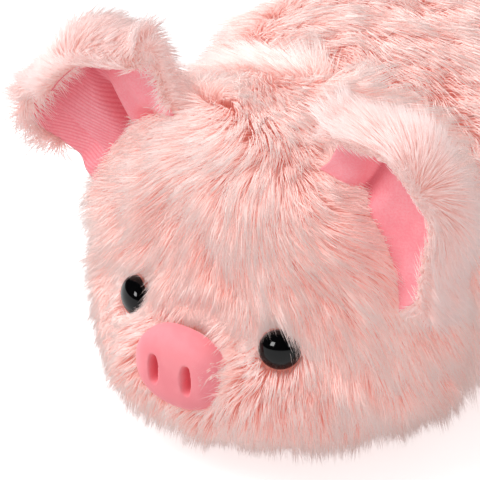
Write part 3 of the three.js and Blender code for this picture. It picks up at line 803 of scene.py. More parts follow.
# Ribs: the sine of turns * (x * cos(slant) - y * sin(slant)), faded out over x.
def liningMaterial(name, ribStrength, side=0, uvName=None):
    look = liningLook
    material, nodes, links, shader = newMaterial(name)
    nap = grainNode(nodes, **look["nap"])
    slow = grainNode(nodes, **look["drift"])
    height = mapRange(nodes, nap["Value"], 0.3, 0.7, 0, look["napHeight"], "LINEAR")
    colour = look["light"]
    if uvName:
        parts = mapParts(nodes, uvName)
        across, along = parts["X"], parts["Y"]
        turns = 2 * math.pi / look["rib"]
        level = mathNode(nodes, "MULTIPLY", across, turns * math.cos(look["ribSlant"]))
        drop = mathNode(nodes, "MULTIPLY", along, turns * math.sin(look["ribSlant"]))
        wave = mathNode(nodes, "SINE", mathNode(nodes, "SUBTRACT", level, drop))
        ribbed = mapRange(nodes, across, look["ribsFrom"], look["ribsTo"],
                          look["plainShare"] * ribStrength, ribStrength)
        raised = mapRange(nodes, wave, -1, 0.6, 0, 1)
        rib = mathNode(nodes, "MULTIPLY", raised, ribbed)
        height = mathNode(nodes, "ADD", height, rib)
        # Painted shade: the grooves between the ribs are darker.
        groove = mapRange(nodes, wave, -1, 0.2, look["ribShade"], 0)
        shade = mathNode(nodes, "MULTIPLY", groove, ribbed)
        colour = mixColour(nodes, shade, look["light"], look["dark"])
    mottle = mapRange(nodes, nap["Mask"], 0, 1, look["napShade"], 0, "LINEAR")
    drift = mathNode(nodes, "MULTIPLY", slow["Mask"], look["driftShade"])
    colour = mixColour(nodes, mottle, colour, look["dark"])
    colour = mixColour(nodes, drift, colour, look["dark"])
    if uvName:
        colour = foldShade(nodes, parts, colour, side)
    links.new(colour, shader.inputs["Base Color"])
    # Painted light: the fabric glows faintly in its own colour.
    links.new(colour, shader.inputs["Emission Color"])
    tilt = nodes.new("ShaderNodeBump")
    finished(tilt, look["bump"])
    links.new(height, tilt.inputs["Height"])
    links.new(tilt.outputs[0], shader.inputs["Normal"])
    finished(shader, look["finish"])
    return material


# The moulded snout: fine matte grain, with painted shade that darkens the pink towards the floor of each
# nostril, and a faint glow in its own colour that is painted light
snoutLook = {
    "light": srgb(244, 142, 150), "mid": srgb(232, 122, 132), "deep": srgb(216, 82, 94),
    "grain": {"scale": 2600, "detail": 3, "low": 0.4, "high": 0.62, "strength": 0.35, "depth": 0.1 * mm},
    "grainShade": 0.18,
    "drift": {"scale": 110, "detail": 2},
    "driftShade": 0.5,
    "finish": {"Roughness": 0.62, "Specular IOR Level": 0.3, "Sheen Weight": 0.2, "Emission Strength": 0.12},
}


def snoutMaterial():
    look = snoutLook
    material, nodes, links, shader = newMaterial("snout")
    fine = grainNode(nodes, **look["grain"])
    slow = grainNode(nodes, **look["drift"])
    nostril = mapParts(nodes, "depth")["X"]
    drift = mathNode(nodes, "MULTIPLY", slow["Mask"], look["driftShade"])
    skin = mixColour(nodes, drift, look["light"], look["mid"])
    speck = mapRange(nodes, fine["Mask"], 0, 1, look["grainShade"], 0, "LINEAR")
    skin = mixColour(nodes, speck, skin, look["mid"])
    # Painted shade: the nostrils darken towards their floor.
    colour = mixColour(nodes, nostril, skin, look["deep"])
    links.new(colour, shader.inputs["Base Color"])
    # Painted light: the snout glows faintly in its own colour.
    links.new(colour, shader.inputs["Emission Color"])
    links.new(fine["Normal"], shader.inputs["Normal"])
    finished(shader, look["finish"])
    return material


# Polished black, with a very faint unevenness that softens the highlights
eyeLook = {
    "grain": {"scale": 500, "detail": 2, "low": 0.3, "high": 0.7},
    "colours": (srgb(3, 3, 4), srgb(8, 8, 9)), "roughness": (0.04, 0.08),
    "finish": {"Specular IOR Level": 0.22},
}


def eyeMaterial():
    material, nodes, links, shader = newMaterial("eye")
    uneven = grainNode(nodes, **eyeLook["grain"])
    colour = mixColour(nodes, uneven["Value"], *eyeLook["colours"])
    links.new(colour, shader.inputs["Base Color"])
    roughness = mapRange(nodes, uneven["Mask"], 0, 1, *eyeLook["roughness"], "LINEAR")
    links.new(roughness, shader.inputs["Roughness"])
    finished(shader, eyeLook["finish"])
    return material


def plainMaterial(name, light, dark, scale, roughness, depth):
    material, nodes, links, shader = newMaterial(name)
    fine = grainNode(nodes, scale, 4, strength=0.6, depth=depth)
    links.new(mixColour(nodes, fine["Mask"], dark, light), shader.inputs["Base Color"])
    links.new(fine["Normal"], shader.inputs["Normal"])
    finished(shader, {"Roughness": roughness})
    return material


pileHair = hairMaterial("pile", pileColours["pile"])
earHair = hairMaterial("earPile", pileColours["earPile"])
pileBacking = backingMaterial("pileBacking", srgb(236, 146, 128), srgb(206, 102, 84),
                              pileColours["pile"]["glowRoot"])
earBacking = backingMaterial("earBacking", srgb(246, 205, 196), srgb(240, 188, 178),
                             pileColours["earPile"]["glowRoot"])
ribbedLining = liningMaterial("ribbedLining", 1.0, -1, "cloth")
smoothLining = liningMaterial("smoothLining", 0.12, 1, "cloth")
tailFabric = liningMaterial("tailFabric", 0.0)
snoutSkin = snoutMaterial()
eyeBlack = eyeMaterial()
washerPlastic = plainMaterial("washer", srgb(236, 233, 226), srgb(222, 218, 210), scale=900,
                              roughness=0.45, depth=0.05 * mm)
fibre = plainMaterial("fibre", srgb(250, 248, 244), srgb(228, 224, 216), scale=420, roughness=0.95,
                      depth=0.8 * mm)


# Rigid pieces of the face

# How far forward the face reaches at a place seen from the front
def faceY(x, z):
    height = head["top"] if z > head["middleZ"] else head["bottom"]
    power = head["sectionPower"]
    across, rise = abs(x) / head["halfWidth"], abs(z - head["middleZ"]) / height
    girth = (across ** power + rise ** power) ** (1 / power)
    level = (1 - girth ** head["frontPower"]) ** (1 / head["frontPower"])
    swell = float(muzzleAt(head, np.array(x), np.array(z))) * level ** (head["frontPower"] / 2)
    return head["middleY"] - head["front"] * level - swell


# A place on the face: its middle, the way out of it, and the level direction across it
def facePlace(x, z, yaw, depth):
    out = np.array([math.sin(yaw), -math.cos(yaw), 0])
    middle = np.array([x, faceY(x, z), z]) - out * depth
    return {"middle": middle, "out": out, "across": np.cross(up, out)}


def placed(place, across, rise, out):
    return (
        place["middle"]
        + place["across"] * np.asarray(across)[..., None]
        + up * np.asarray(rise)[..., None]
        + place["out"] * np.asarray(out)[..., None]
    )


eye = {
    "radius": 7.5 * mm, "dome": 7 * mm, "flange": 1.5 * mm, "depth": 3 * mm, "x": 32 * mm,
    "z": 54.5 * mm, "yaw": 32 * degree, "shankRadius": 2.2 * mm, "shankLength": 12 * mm,
    "bevel": 0.3 * mm, "domeRings": 25,
}
snout = {
    "z": 44 * mm, "halfWidth": 18 * mm, "halfHeight": 15 * mm, "front": 9 * mm, "rear": 4 * mm,
    "depth": 3 * mm, "rimPower": 3.4, "outlinePower": 2.3, "shankRadius": 3 * mm,
    "shankLength": 12 * mm, "nostrilX": 7 * mm, "nostrilHalfWidth": 1.9 * mm,
    "nostrilHalfHeight": 5.2 * mm, "nostrilDepth": 4.6 * mm, "nostrilPower": 2.6,
    "nostrilWall": (0.62, 1.25), "bevel": 0.4 * mm, "turnedIn": 0.93, "rows": 110, "columns": 192,
    "faceEnds": (-150 * mm, -120 * mm), "farBehind": 4,
}
eyePlaces = {side: facePlace(side * eye["x"], eye["z"], side * eye["yaw"], eye["depth"]) for side in (1, -1)}
snoutPlace = facePlace(0, snout["z"], 0, snout["depth"])
sideNames = {1: "left", -1: "right"}


# A profile of (radius, height) turned once round the place's own axis
def turnedProfile(name, place, profile, sides=72):
    radius, height = np.array(profile).T
    angle = roundTurn(sides)
    points = placed(
        place,
        radius[:, None] * np.cos(angle),
        radius[:, None] * np.sin(angle),
        height[:, None] + 0 * angle,
    )
    return welded(newMesh(name, points, gridFaces(len(profile), sides, wrap=True)))


def makeEyes():
    for side, place in eyePlaces.items():
        bevel = eye["bevel"]
        profile = [
            (0, -eye["shankLength"]),
            (eye["shankRadius"] - bevel, -eye["shankLength"]),
            (eye["shankRadius"], -eye["shankLength"] + bevel),
            (eye["shankRadius"], 0),
            (eye["radius"] - bevel, 0),
            (eye["radius"], bevel),
        ]
        for angle in np.linspace(0, math.pi / 2, eye["domeRings"]):
            dome = eye["flange"] + (eye["dome"] - eye["flange"]) * math.sin(angle)
            profile.append((eye["radius"] * math.cos(angle), dome))
        name = sideNames[side] + "_eye"
        mesh = turnedProfile(name + "_domed", place, profile)
        makePiece(name + "_domed", mesh, eyeBlack, "trunk", [name])


# Snout: a blunt oval lens on a round shank. Rows run from the middle of the front over the rim
# to the back, and the two slots are pressed in with a steep-sided dent.
def makeSnout():
    rows, columns = snout["rows"], snout["columns"]
    around = roundTurn(columns)[None, :]
    along = np.linspace(0, math.pi * snout["turnedIn"], rows)[:, None]
    girth = blunt(np.sin(along), snout["rimPower"])
    x = snout["halfWidth"] * girth * blunt(np.cos(around), snout["outlinePower"])
    z = snout["halfHeight"] * girth * blunt(np.sin(around), snout["outlinePower"])
    facing = np.cos(along)
    reach = np.where(facing > 0, snout["front"], snout["rear"])
    out = reach * blunt(facing, snout["rimPower"]) + 0 * around
    across = (np.abs(x) - snout["nostrilX"]) / snout["nostrilHalfWidth"]
    rise = z / snout["nostrilHalfHeight"]
    power = snout["nostrilPower"]
    radius = (np.abs(across) ** power + np.abs(rise) ** power) ** (1 / power)
    dent = (1 - smooth(radius, *snout["nostrilWall"])) * (facing > 0)
    out = out - snout["nostrilDepth"] * dent
    end = -snout["rear"] - snout["shankLength"]
    shankRows = [
        (snout["shankRadius"], -snout["rear"]),
        (snout["shankRadius"], end + snout["bevel"]),
        (snout["shankRadius"] - snout["bevel"], end),
        (0, end),
    ]
    shank = np.array(shankRows)[:, :, None]
    x = np.concatenate([x, shank[:, 0] * np.cos(around)])
    z = np.concatenate([z, shank[:, 0] * np.sin(around)])
    out = np.concatenate([out, shank[:, 1] + 0 * around])
    # The dent also gives the share of painted shade in the nostrils, kept in the map named depth.
    deep = np.concatenate([dent, np.zeros((len(shankRows), columns))])
    points = placed(snoutPlace, x, z, out)
    faces = gridFaces(rows + len(shankRows), columns, wrap=True)
    mesh = newMesh("snout_moulded", points, faces)
    addUv(mesh, "depth", np.stack([deep, out / snout["front"]], -1).reshape(-1, 2))
    makePiece("snout_moulded", welded(mesh), snoutSkin, "trunk", ["snout"])


# The washers keep their solids, which are plain rings, with a moulded finish.
def finishWashers():
    for name in ("left_eye_washer", "right_eye_washer", "snout_washer"):
        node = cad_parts[name]
        node.data.materials.clear()
        node.data.materials.append(washerPlastic)


# Covers and fillings


def makeCover(name, outer, inner):
    mesh = skinMesh(name + "_backing", outer, inner)
    makePiece(name + "_backing", mesh, pileBacking, "trunk", [name + "_panel"])


def makePanels():
    for side, word in sideNames.items():
        makeCover(word + "_head", headPanel(side, peltInset), headPanel(side, peltInset + backing))
        makeCover(word + "_back", backPanel(side, peltInset), backPanel(side, peltInset + backing))
    outer, inner = bellyPanel(peltInset), bellyPanel(peltInset + backing)
    inner[..., 2] += backing * (outer[..., 2] <= floorGap)
    makeCover("belly", outer, inner)


filling = {
    "inset": 9.6 * mm, "lump": 0.25 * mm, "lumpLength": 18 * mm, "eyeHollow": 9 * mm,
    "snoutHollow": 11 * mm, "behindWasher": 1 * mm, "hollowEdge": 4 * mm, "hollowReach": 20 * mm,
    "rows": 60, "columns": 96,
}


# A closed oval lump of fibre: the form drawn in, with slow lumps, cut off at the neck.
def fillingGrid(form, low, high):
    along = np.linspace(0, math.pi, filling["rows"])[:, None]
    around = roundTurn(filling["columns"])[None, :]
    points = ovalPoints(form, filling["inset"], along, around)
    lumps = filling["lump"] * waves(points, filling["lumpLength"], 5)
    points = points + lumps[..., None] * unit(points - points.mean((0, 1)))
    points[..., 1] = np.clip(points[..., 1], low, high)
    return points


# The fibre is pressed back in front of each washer: points in its way move behind it.
def pressedBack(points, place, radius, behind):
    behind = behind + filling["behindWasher"]
    aside, height = fromAxis(points, place["middle"], place["out"])
    near = height > -behind - filling["hollowReach"]
    press = (1 - smooth(aside, radius, radius + filling["hollowEdge"])) * near
    drop = np.maximum(height + behind, 0) * press
    return points - place["out"] * drop[..., None]


def makeFilling(name, points):
    faces = gridFaces(filling["rows"], filling["columns"], wrap=True)
    mesh = welded(newMesh(name + "_filling", points, faces))
    makePiece(name + "_filling", mesh, fibre, "trunk", [name + "_stuffing"])


def makeFillings():
    points = fillingGrid(head, -math.inf, neckY - seamGap)
    for place in eyePlaces.values():
        points = pressedBack(points, place, filling["eyeHollow"], eye["shankLength"])
    points = pressedBack(points, snoutPlace, filling["snoutHollow"], snout["rear"] + snout["shankLength"])
    makeFilling("head", points)
    makeFilling("body", fillingGrid(trunk, neckY + seamGap, math.inf))


def makeLegs():
    rows, columns = leg["rows"], leg["columns"]
    along = np.linspace(0, math.pi, rows)[:, None]
    around = roundTurn(columns)[None, :]
    faces = gridFaces(rows, columns, wrap=True)
    shell = np.concatenate([faces, faces[:, ::-1] + rows * columns])
    for leaf, place in legPlaces.items():
        layers = []
        for deeper in (0, backing, backing + leg["fillingGap"]):
            layer = legPoints(place, leg["inset"] + deeper, along, around)
            layers.append(clearedLeg(layer, place, seamGap + deeper))
        layers[0] = aboveFloor(layers[0])
        for side, word in sideNames.items():
            name = f"{word}_{leaf}"
            outer, inner, core = (mirrorX(layer, side).reshape(-1, 3) for layer in layers)
            mesh = welded(newMesh(name + "_backing", np.concatenate([outer, inner]), shell))
            makePiece(name + "_backing", mesh, pileBacking, name, [name + "_cover"])
            mesh = welded(newMesh(name + "_filling", core, faces))
            makePiece(name + "_filling", mesh, fibre, name, [name + "_stuffing"])


# Middle and width of each fold across the ear, and where along it the folds start and end
foldForm = {
    "lobe": (-0.42, 0.26), "panel": (0.3, 0.2), "crease": (0, 0.09), "bulge": (0, 0.7),
    "bulgeEnd": (0, 0.3), "start": (0.02, 0.16), "end": (0.3, 0.54),
}


# Folds of the lining beyond those of the form, as height over it. The pig's right ear has a
# soft lobe, a deep crease beside it and an outer strip that tucks under; the left one is smooth.
def liningFolds(across, along, side):
    share = np.clip(along / earLength, 0, 1)
    look = earFolds[side]
    aside = across - look["creaseAt"] + look["creaseSlant"] * share
    tuck = -look["tuck"] * smooth(across, look["tuckAt"] - 0.02, look["tuckAt"] + 0.06)
    lobe = look["lobe"] * bump(aside, *foldForm["lobe"])
    panel = look["panel"] * bump(aside, *foldForm["panel"])
    crease = -look["crease"] * bump(aside, *foldForm["crease"])
    bulge = look["bulge"] * (1 - smooth(share, *foldForm["bulgeEnd"])) * bump(across, *foldForm["bulge"])
    shown = (1 - smooth(share, *foldForm["end"])) * smooth(share, *foldForm["start"])
    return (tuck + lobe + panel + crease) * shown + bulge


def earBodies():
    rows, columns = ear["rows"], ear["columns"]
    for side, word in sideNames.items():
        across, along = earSheet(rows, columns, 0.0, side)
        folds = liningFolds(across, along, side)
        backTop = earPoints(across, along, folds - seamGap, side)
        followed = np.minimum(folds * ear["backingFollows"], folds)
        backUnder = earPoints(across, along, followed - ear["backing"], side)
        name = word + "_ear_backing"
        mesh = skinMesh(name, mirrorX(backUnder, side), mirrorX(backTop, side))
        makePiece(name, mesh, earBacking, word + "_ear", [word + "_ear_back"])
        across, along = earSheet(rows, columns, ear["lining"], side, ear["liningMargin"])
        folds = liningFolds(across, along, side)
        liningTop = earPoints(across, along, folds + ear["lining"], side)
        liningUnder = earPoints(across, along, folds + ear["liningGap"], side)
        uv = np.stack([across * ear["halfWidth"], along], -1)
        name = word + "_ear_lining_folded"
        mesh = skinMesh(name, mirrorX(liningTop, side), mirrorX(liningUnder, side), uv)
        finish = smoothLining if side > 0 else ribbedLining
        makePiece(name, mesh, finish, word + "_ear", [word + "_ear_lining"])


# Tail: a tapering tube that curls as it stands out behind, with round ends.
tail = {
    "z": 78 * mm, "rootRadius": 5.5 * mm, "tipRadius": 3 * mm, "curl": 9 * mm, "reach": 22 * mm,
    "onset": 3, "turns": 1.2, "steps": 120, "sides": 40, "capRings": 8, "softenedOver": 9,
    "fill": 0.9,
}


def makeTail():
    rise = (tail["z"] - trunk["middleZ"]) / trunk["top"]
    power = trunk["rearPower"]
    back = (1 - rise ** power) ** (1 / power)
    outward = unit(np.array([0, back ** (power - 1) / trunk["rear"], rise ** (power - 1) / trunk["top"]]))
    sideways = np.array([1.0, 0, 0])
    lift = np.cross(sideways, outward)
    pivot = np.array([0, back * trunk["rear"], tail["z"]]) + outward * (tail["rootRadius"] + seamGap)
    share = np.linspace(0, 1, tail["steps"])
    angle = 2 * math.pi * tail["turns"] * share
    curl = tail["curl"] * np.minimum(1, tail["onset"] * share)
    kernel = np.ones(tail["softenedOver"]) / tail["softenedOver"]
    curl = np.convolve(np.pad(curl, tail["softenedOver"] // 2, mode="edge"), kernel, mode="valid")
    curl[0] = 0
    path = (
        pivot
        + outward * (tail["reach"] * share)[:, None]
        + sideways * (curl * np.sin(angle))[:, None]
        - lift * (curl * (1 - np.cos(angle)))[:, None]
    )
    ahead = unit(np.gradient(path, axis=0))
    normal = [unit(np.cross(ahead[0], sideways))]
    for step in range(1, len(path)):
        normal.append(tangent(normal[-1], ahead[step]))
    normal = np.array(normal)
    binormal = np.cross(ahead, normal)
    radius = tail["rootRadius"] + (tail["tipRadius"] - tail["rootRadius"]) * share
    caps = np.linspace(0, math.pi / 2, tail["capRings"], endpoint=False)
    middle = np.concatenate([
        path[0] - ahead[0] * (radius[0] * np.cos(caps))[:, None],
        path,
        path[-1] + ahead[-1] * (radius[-1] * np.cos(caps[::-1]))[:, None],
    ])
    size = np.concatenate([radius[0] * np.sin(caps), radius, radius[-1] * np.sin(caps[::-1])])
    repeat = lambda values: np.concatenate([[values[0]] * len(caps), values, [values[-1]] * len(caps)])
    sides = roundTurn(tail["sides"])
    ring = (
        repeat(normal)[:, None] * np.cos(sides)[None, :, None]
        + repeat(binormal)[:, None] * np.sin(sides)[None, :, None]
    )
    points = middle[:, None] + ring * size[:, None, None]
    mesh = newMesh("tail_curl", points, gridFaces(len(middle), len(sides), wrap=True))
    makePiece("tail_curl", welded(mesh), tailFabric, "tail", ["tail"])


# Pile
# A hair is a closed three-sided taper with two stretches. Its middle line starts at the backing,
# leans from the normal towards the combed direction and bends further over its length.
hair = {"stops": np.array([0, 0.42, 1.0]), "widths": np.array([1.0, 0.85])}


def trianglesOf(grid):
    rows, columns = grid.shape[:2]
    quads = gridFaces(rows, columns)
    return np.concatenate([quads[:, [0, 1, 2]], quads[:, [0, 2, 3]]])


def vertexNormals(points, triangles, outFrom):
    a, b, c = (points[triangles[:, corner]] for corner in range(3))
    cross = np.cross(b - a, c - a)
    normals = np.zeros_like(points)
    for corner in range(3):
        np.add.at(normals, triangles[:, corner], cross)
    normals = unit(normals)
    flip = np.sign(np.sum(normals * outFrom(points), axis=-1, keepdims=True))
    return normals * np.where(flip == 0, 1, flip), lengthOf(cross) / 2


# Random places on a surface, more of them where density is higher: position and normal.
def scatter(surface, count, density, rng):
    points, triangles, normals, areas = surface
    middles = points[triangles].mean(axis=1)
    weight = areas * density(middles)
    total = np.cumsum(weight)
    chosen = np.searchsorted(total, rng.uniform(0, total[-1], count))
    share = rng.uniform(size=(count, 2))
    over = share.sum(axis=1) > 1
    share[over] = 1 - share[over]
    corners = triangles[np.minimum(chosen, len(triangles) - 1)]
    weights = np.stack([1 - share.sum(axis=1), share[:, 0], share[:, 1]], -1)[..., None]
    return (points[corners] * weights).sum(axis=1), unit((normals[corners] * weights).sum(axis=1))


# The nearest of a set of places to each point, worked out in blocks.
def nearest(points, places):
    result = np.empty(len(points), np.int64)
    square = (places ** 2).sum(axis=1)
    for start in range(0, len(points), 4000):
        block = points[start:start + 4000]
        result[start:start + 4000] = np.argmin(square - 2 * block @ places.T, axis=1)
    return result


# Middle lines of hairs: points, normals, combed directions, lengths, first and last lean, sag.
def middleLines(root, normal, comb, length, lean, bend, sag):
    line = [root]
    stops = hair["stops"]
    down = tangent(-up + 0 * normal, normal)
    for step in range(len(stops) - 1):
        middle = (stops[step] + stops[step + 1]) / 2
        way = unit(comb + down * (sag * middle)[:, None])
        angle = lean + (bend - lean) * middle
        ahead = normal * np.cos(angle)[:, None] + way * np.sin(angle)[:, None]
        line.append(line[-1] + ahead * (length * (stops[step + 1] - stops[step]))[:, None])
    return np.stack(line, 1)


# Turns directions about their normals by an angle each.
def swung(comb, normal, angle):
    side = np.cross(normal, comb)
    return comb * np.cos(angle)[:, None] + side * np.sin(angle)[:, None]


# Closed tapers round middle lines, with the tone and the place along each hair in the map.
def hairMesh(name, lines, width, tone, rng):
    count, rings = len(lines), len(hair["widths"])
    ahead = unit(np.diff(lines, axis=1))
    ahead = np.concatenate([ahead[:, :1], unit(ahead[:, :-1] + ahead[:, 1:])], axis=1)
    start = unit(rng.normal(size=(count, 3)))
    turn = np.arange(3) * 2 * math.pi / 3
    points = []
    for step in range(rings):
        side = tangent(start, ahead[:, step])
        other = np.cross(ahead[:, step], side)
        radius = (width * hair["widths"][step] / 2)[:, None, None]
        ring = side[:, None] * np.cos(turn)[None, :, None] + other[:, None] * np.sin(turn)[None, :, None]
        points.append(lines[:, step, None] + ring * radius)
    points = np.concatenate(points + [lines[:, -1:]], axis=1)
    tip = 3 * rings
    faces = [[2, 1, 0]]
    for side in range(3):
        other = (side + 1) % 3
        for ring in range(0, tip - 3, 3):
            faces.append([ring + side, ring + other, ring + 3 + other])
            faces.append([ring + side, ring + 3 + other, ring + 3 + side])
        faces.append([tip - 3 + side, tip - 3 + other, tip])
    faces = np.array(faces)[None] + (tip + 1) * np.arange(count)[:, None, None]
    mesh = newMesh(name, points, faces.reshape(-1, 3))
    across = np.append(np.tile([0, 1, 2], rings), 1) * 0.004
    along = np.append(np.repeat(hair["stops"][:rings], 3) + np.tile([0, 0.006, 0], rings), 1.0)
    u = np.clip(tone, 0.02, 0.97)[:, None] + across
    v = np.broadcast_to(0.02 + 0.96 * along, (count, tip + 1))
    addUv(mesh, "OFBake", np.stack([u, v], -1).reshape(-1, 2))
    return mesh


faceRoom = {
    "eyeMiddle": 0.72, "behindEye": 4 * mm, "cutShare": 0.7, "leastShare": 0.45, "slant": 0.35,
    "liftedFrom": (0.1, 0.6), "shorterPast": 1.8, "leastOver": 0.5, "power": 2.4, "gap": 0.3 * mm,
    "behind": 2 * mm,
}


# Hairs push out of the eyes and the snout, and are cut short where they would lie over them.
def clearOfFace(lines):
    for place in eyePlaces.values():
        aside, height = fromAxis(lines, place["middle"], place["out"])
        over = (aside < eye["radius"] * faceRoom["eyeMiddle"]) & (height > -faceRoom["behindEye"])
        first = np.where(over.any(axis=1), np.argmax(over, axis=1), len(hair["stops"]))
        cut = np.append(hair["stops"], 1.0)[np.minimum(first, len(hair["stops"]))]
        left = np.maximum(cut * faceRoom["cutShare"], faceRoom["leastShare"])
        share = np.where(over.any(axis=1), left, 1)
        lines = shortened(lines, share)
        lines = outOfDome(lines, place, eye["radius"], eye["radius"], eye["dome"])
    return overSnout(lines)


# Over its upper rim, hairs that would run into the snout are lifted straight forward onto it and end
# near the rim: its front stands at depth * (1 - radius^power)^(1/power). Below they go round it.
def overSnout(lines):
    spoke = lines[:, 0] - snoutPlace["middle"]
    slanted = faceRoom["slant"] * (spoke @ snoutPlace["across"]) / snout["halfWidth"]
    above = smooth((spoke @ up) / snout["halfHeight"] + slanted, *faceRoom["liftedFrom"])[:, None]
    past = np.maximum(fringe["overlap"] - snoutReachOf(lines)[0].min(axis=1)[:, None], 0)
    share = np.clip(1 - past * faceRoom["shorterPast"], faceRoom["leastOver"], 1)
    shorter = shortened(lines, share)
    radius, out = snoutReachOf(shorter)
    front = snout["front"] * np.clip(1 - radius ** snout["rimPower"], 0, 1) ** (1 / snout["rimPower"])
    lift = np.maximum(front + fringe["clearance"] - out, 0) * (radius < 1) * (out > -snout["rear"])
    lift[:, 0] = 0
    lifted = shorter + snoutPlace["out"] * lift[..., None]
    beside = outOfDome(lines, snoutPlace, snout["halfWidth"], snout["halfHeight"], snout["front"])
    return beside + (lifted - beside) * above[..., None]


def snoutReachOf(lines):
    spoke = lines - snoutPlace["middle"]
    across = np.abs(spoke @ snoutPlace["across"]) / snout["halfWidth"]
    rise = np.abs(spoke @ up) / snout["halfHeight"]
    power = snout["outlinePower"]
    return (across ** power + rise ** power) ** (1 / power), spoke @ snoutPlace["out"]


# Points inside a blunt dome on the face move straight away from its middle until they are on it.
def outOfDome(lines, place, width, height, depth):
    spoke = lines - place["middle"]
    out = spoke @ place["out"]
    across = spoke @ place["across"]
    rise = spoke @ up
    power, gap = faceRoom["power"], faceRoom["gap"]
    radius = (
        np.abs(across / (width + gap)) ** power
        + np.abs(rise / (height + gap)) ** power
        + np.abs(np.maximum(out, 0) / (depth + gap)) ** power
    ) ** (1 / power)
    inside = (radius < 1) & (out > -faceRoom["behind"])
    scale = np.where(inside, 1 / np.maximum(radius, 0.2), 1)[..., None]
    pushed = place["middle"] + spoke * scale
    return np.where(inside[..., None], pushed, lines)


# Middle lines and tones of the pile on a surface. style gives for points and normals the combed
# direction, length, first and last lean, sag and tone, and looks holds the plain numbers.
def pileLines(surface, style, density, looks, rng):
    root, normal = scatter(surface, looks["hairs"], density, rng)
    tuftRoot, tuftNormal = scatter(surface, looks["tufts"], density, rng)
    tuft = nearest(root, tuftRoot)

    def shaped(points, normals, jitter, spread):
        comb, length, lean, bend, sag, tone = style(points, normals)
        comb = swung(comb, normals, rng.normal(size=len(points)) * jitter)
        length = length * (1 + spread * rng.uniform(-1, 0.6, len(points)))
        lean = lean + rng.normal(size=len(points)) * looks["leanJitter"]
        return middleLines(points, normals, comb, length, lean, bend, sag), tone

    lockRoot, lockNormal = scatter(surface, looks["locks"], density, rng)
    lock = nearest(tuftRoot, lockRoot)
    lockLine, _ = shaped(lockRoot, lockNormal, 0.1, 0.1)
    longer = 1 + looks["lockSpread"] * rng.uniform(-1, 1, len(lockRoot))
    tuftLine, _ = shaped(tuftRoot, tuftNormal, looks["tuftSwing"], 0.15)
    drawn = looks["lockPull"] * hair["stops"][:, None]
    tuftLine = tuftLine + (lockLine[lock] - tuftLine) * drawn
    tuftLine = shortened(tuftLine, longer[lock])
    lines, tone = shaped(root, normal, looks["hairSwing"], looks["lengthSpread"])
    lines = shortened(lines, longer[lock[tuft]])
    pull = looks["clump"] * hair["stops"] ** 0.8
    strength = rng.uniform(0.6, 1.15, len(lines))[:, None] * pull
    lines = lines + (tuftLine[tuft] - lines) * np.minimum(strength, 0.95)[..., None]
    tone = tone + looks["tuftTone"] * rng.normal(size=len(tuftRoot))[tuft]
    tone = tone + looks["lockTone"] * rng.normal(size=len(lockRoot))[lock[tuft]]
    tone = tone + looks["hairTone"] * rng.normal(size=len(lines))
    return partedLines(lines, tone, looks["partings"])


pileRoom = {
    "trunkSpread": (0.1, 1.6), "clearSpread": (0.6, 1.4), "clearFrom": (3 * mm, 12 * mm),
    "leastClear": 0.5 * mm, "leastShare": 0.3, "floor": 0.35 * mm, "widthSpread": (0.7, 1.25),
}


# Makes one piece of pile from middle lines, kept off the face, the body and the floor.
def growPile(name, lines, tone, body, material, looks, rng):
    if looks["overFace"]:
        lines = clearOfFace(lines)
    if looks["overTrunk"]:
        depth = looks["overTrunk"] * rng.uniform(*pileRoom["trunkSpread"], len(lines))[:, None]
        outer = keptOut(head, depth, lines[:, 1:])
        outer = keptOut(trunk, depth, outer)
        lines = np.concatenate([lines[:, :1], outer], axis=1)
    height = lines[:, 0, 2]
    drop = np.maximum(height - lines[:, 2, 2], 1e-6)
    spread = rng.uniform(*pileRoom["clearSpread"], len(lines))
    clearance = looks["clearance"] * spread * smooth(height, *pileRoom["clearFrom"]) + pileRoom["leastClear"]
    share = np.clip((height - clearance) / drop, pileRoom["leastShare"], 1)
    lines = shortened(lines, share)
    lines[..., 2] = np.maximum(lines[..., 2], pileRoom["floor"])
    width = looks["width"] * rng.uniform(*pileRoom["widthSpread"], len(lines))
    makePiece(name, hairMesh(name, lines, width, tone, rng), material, body)
    print("pile", name, len(lines), "hairs")
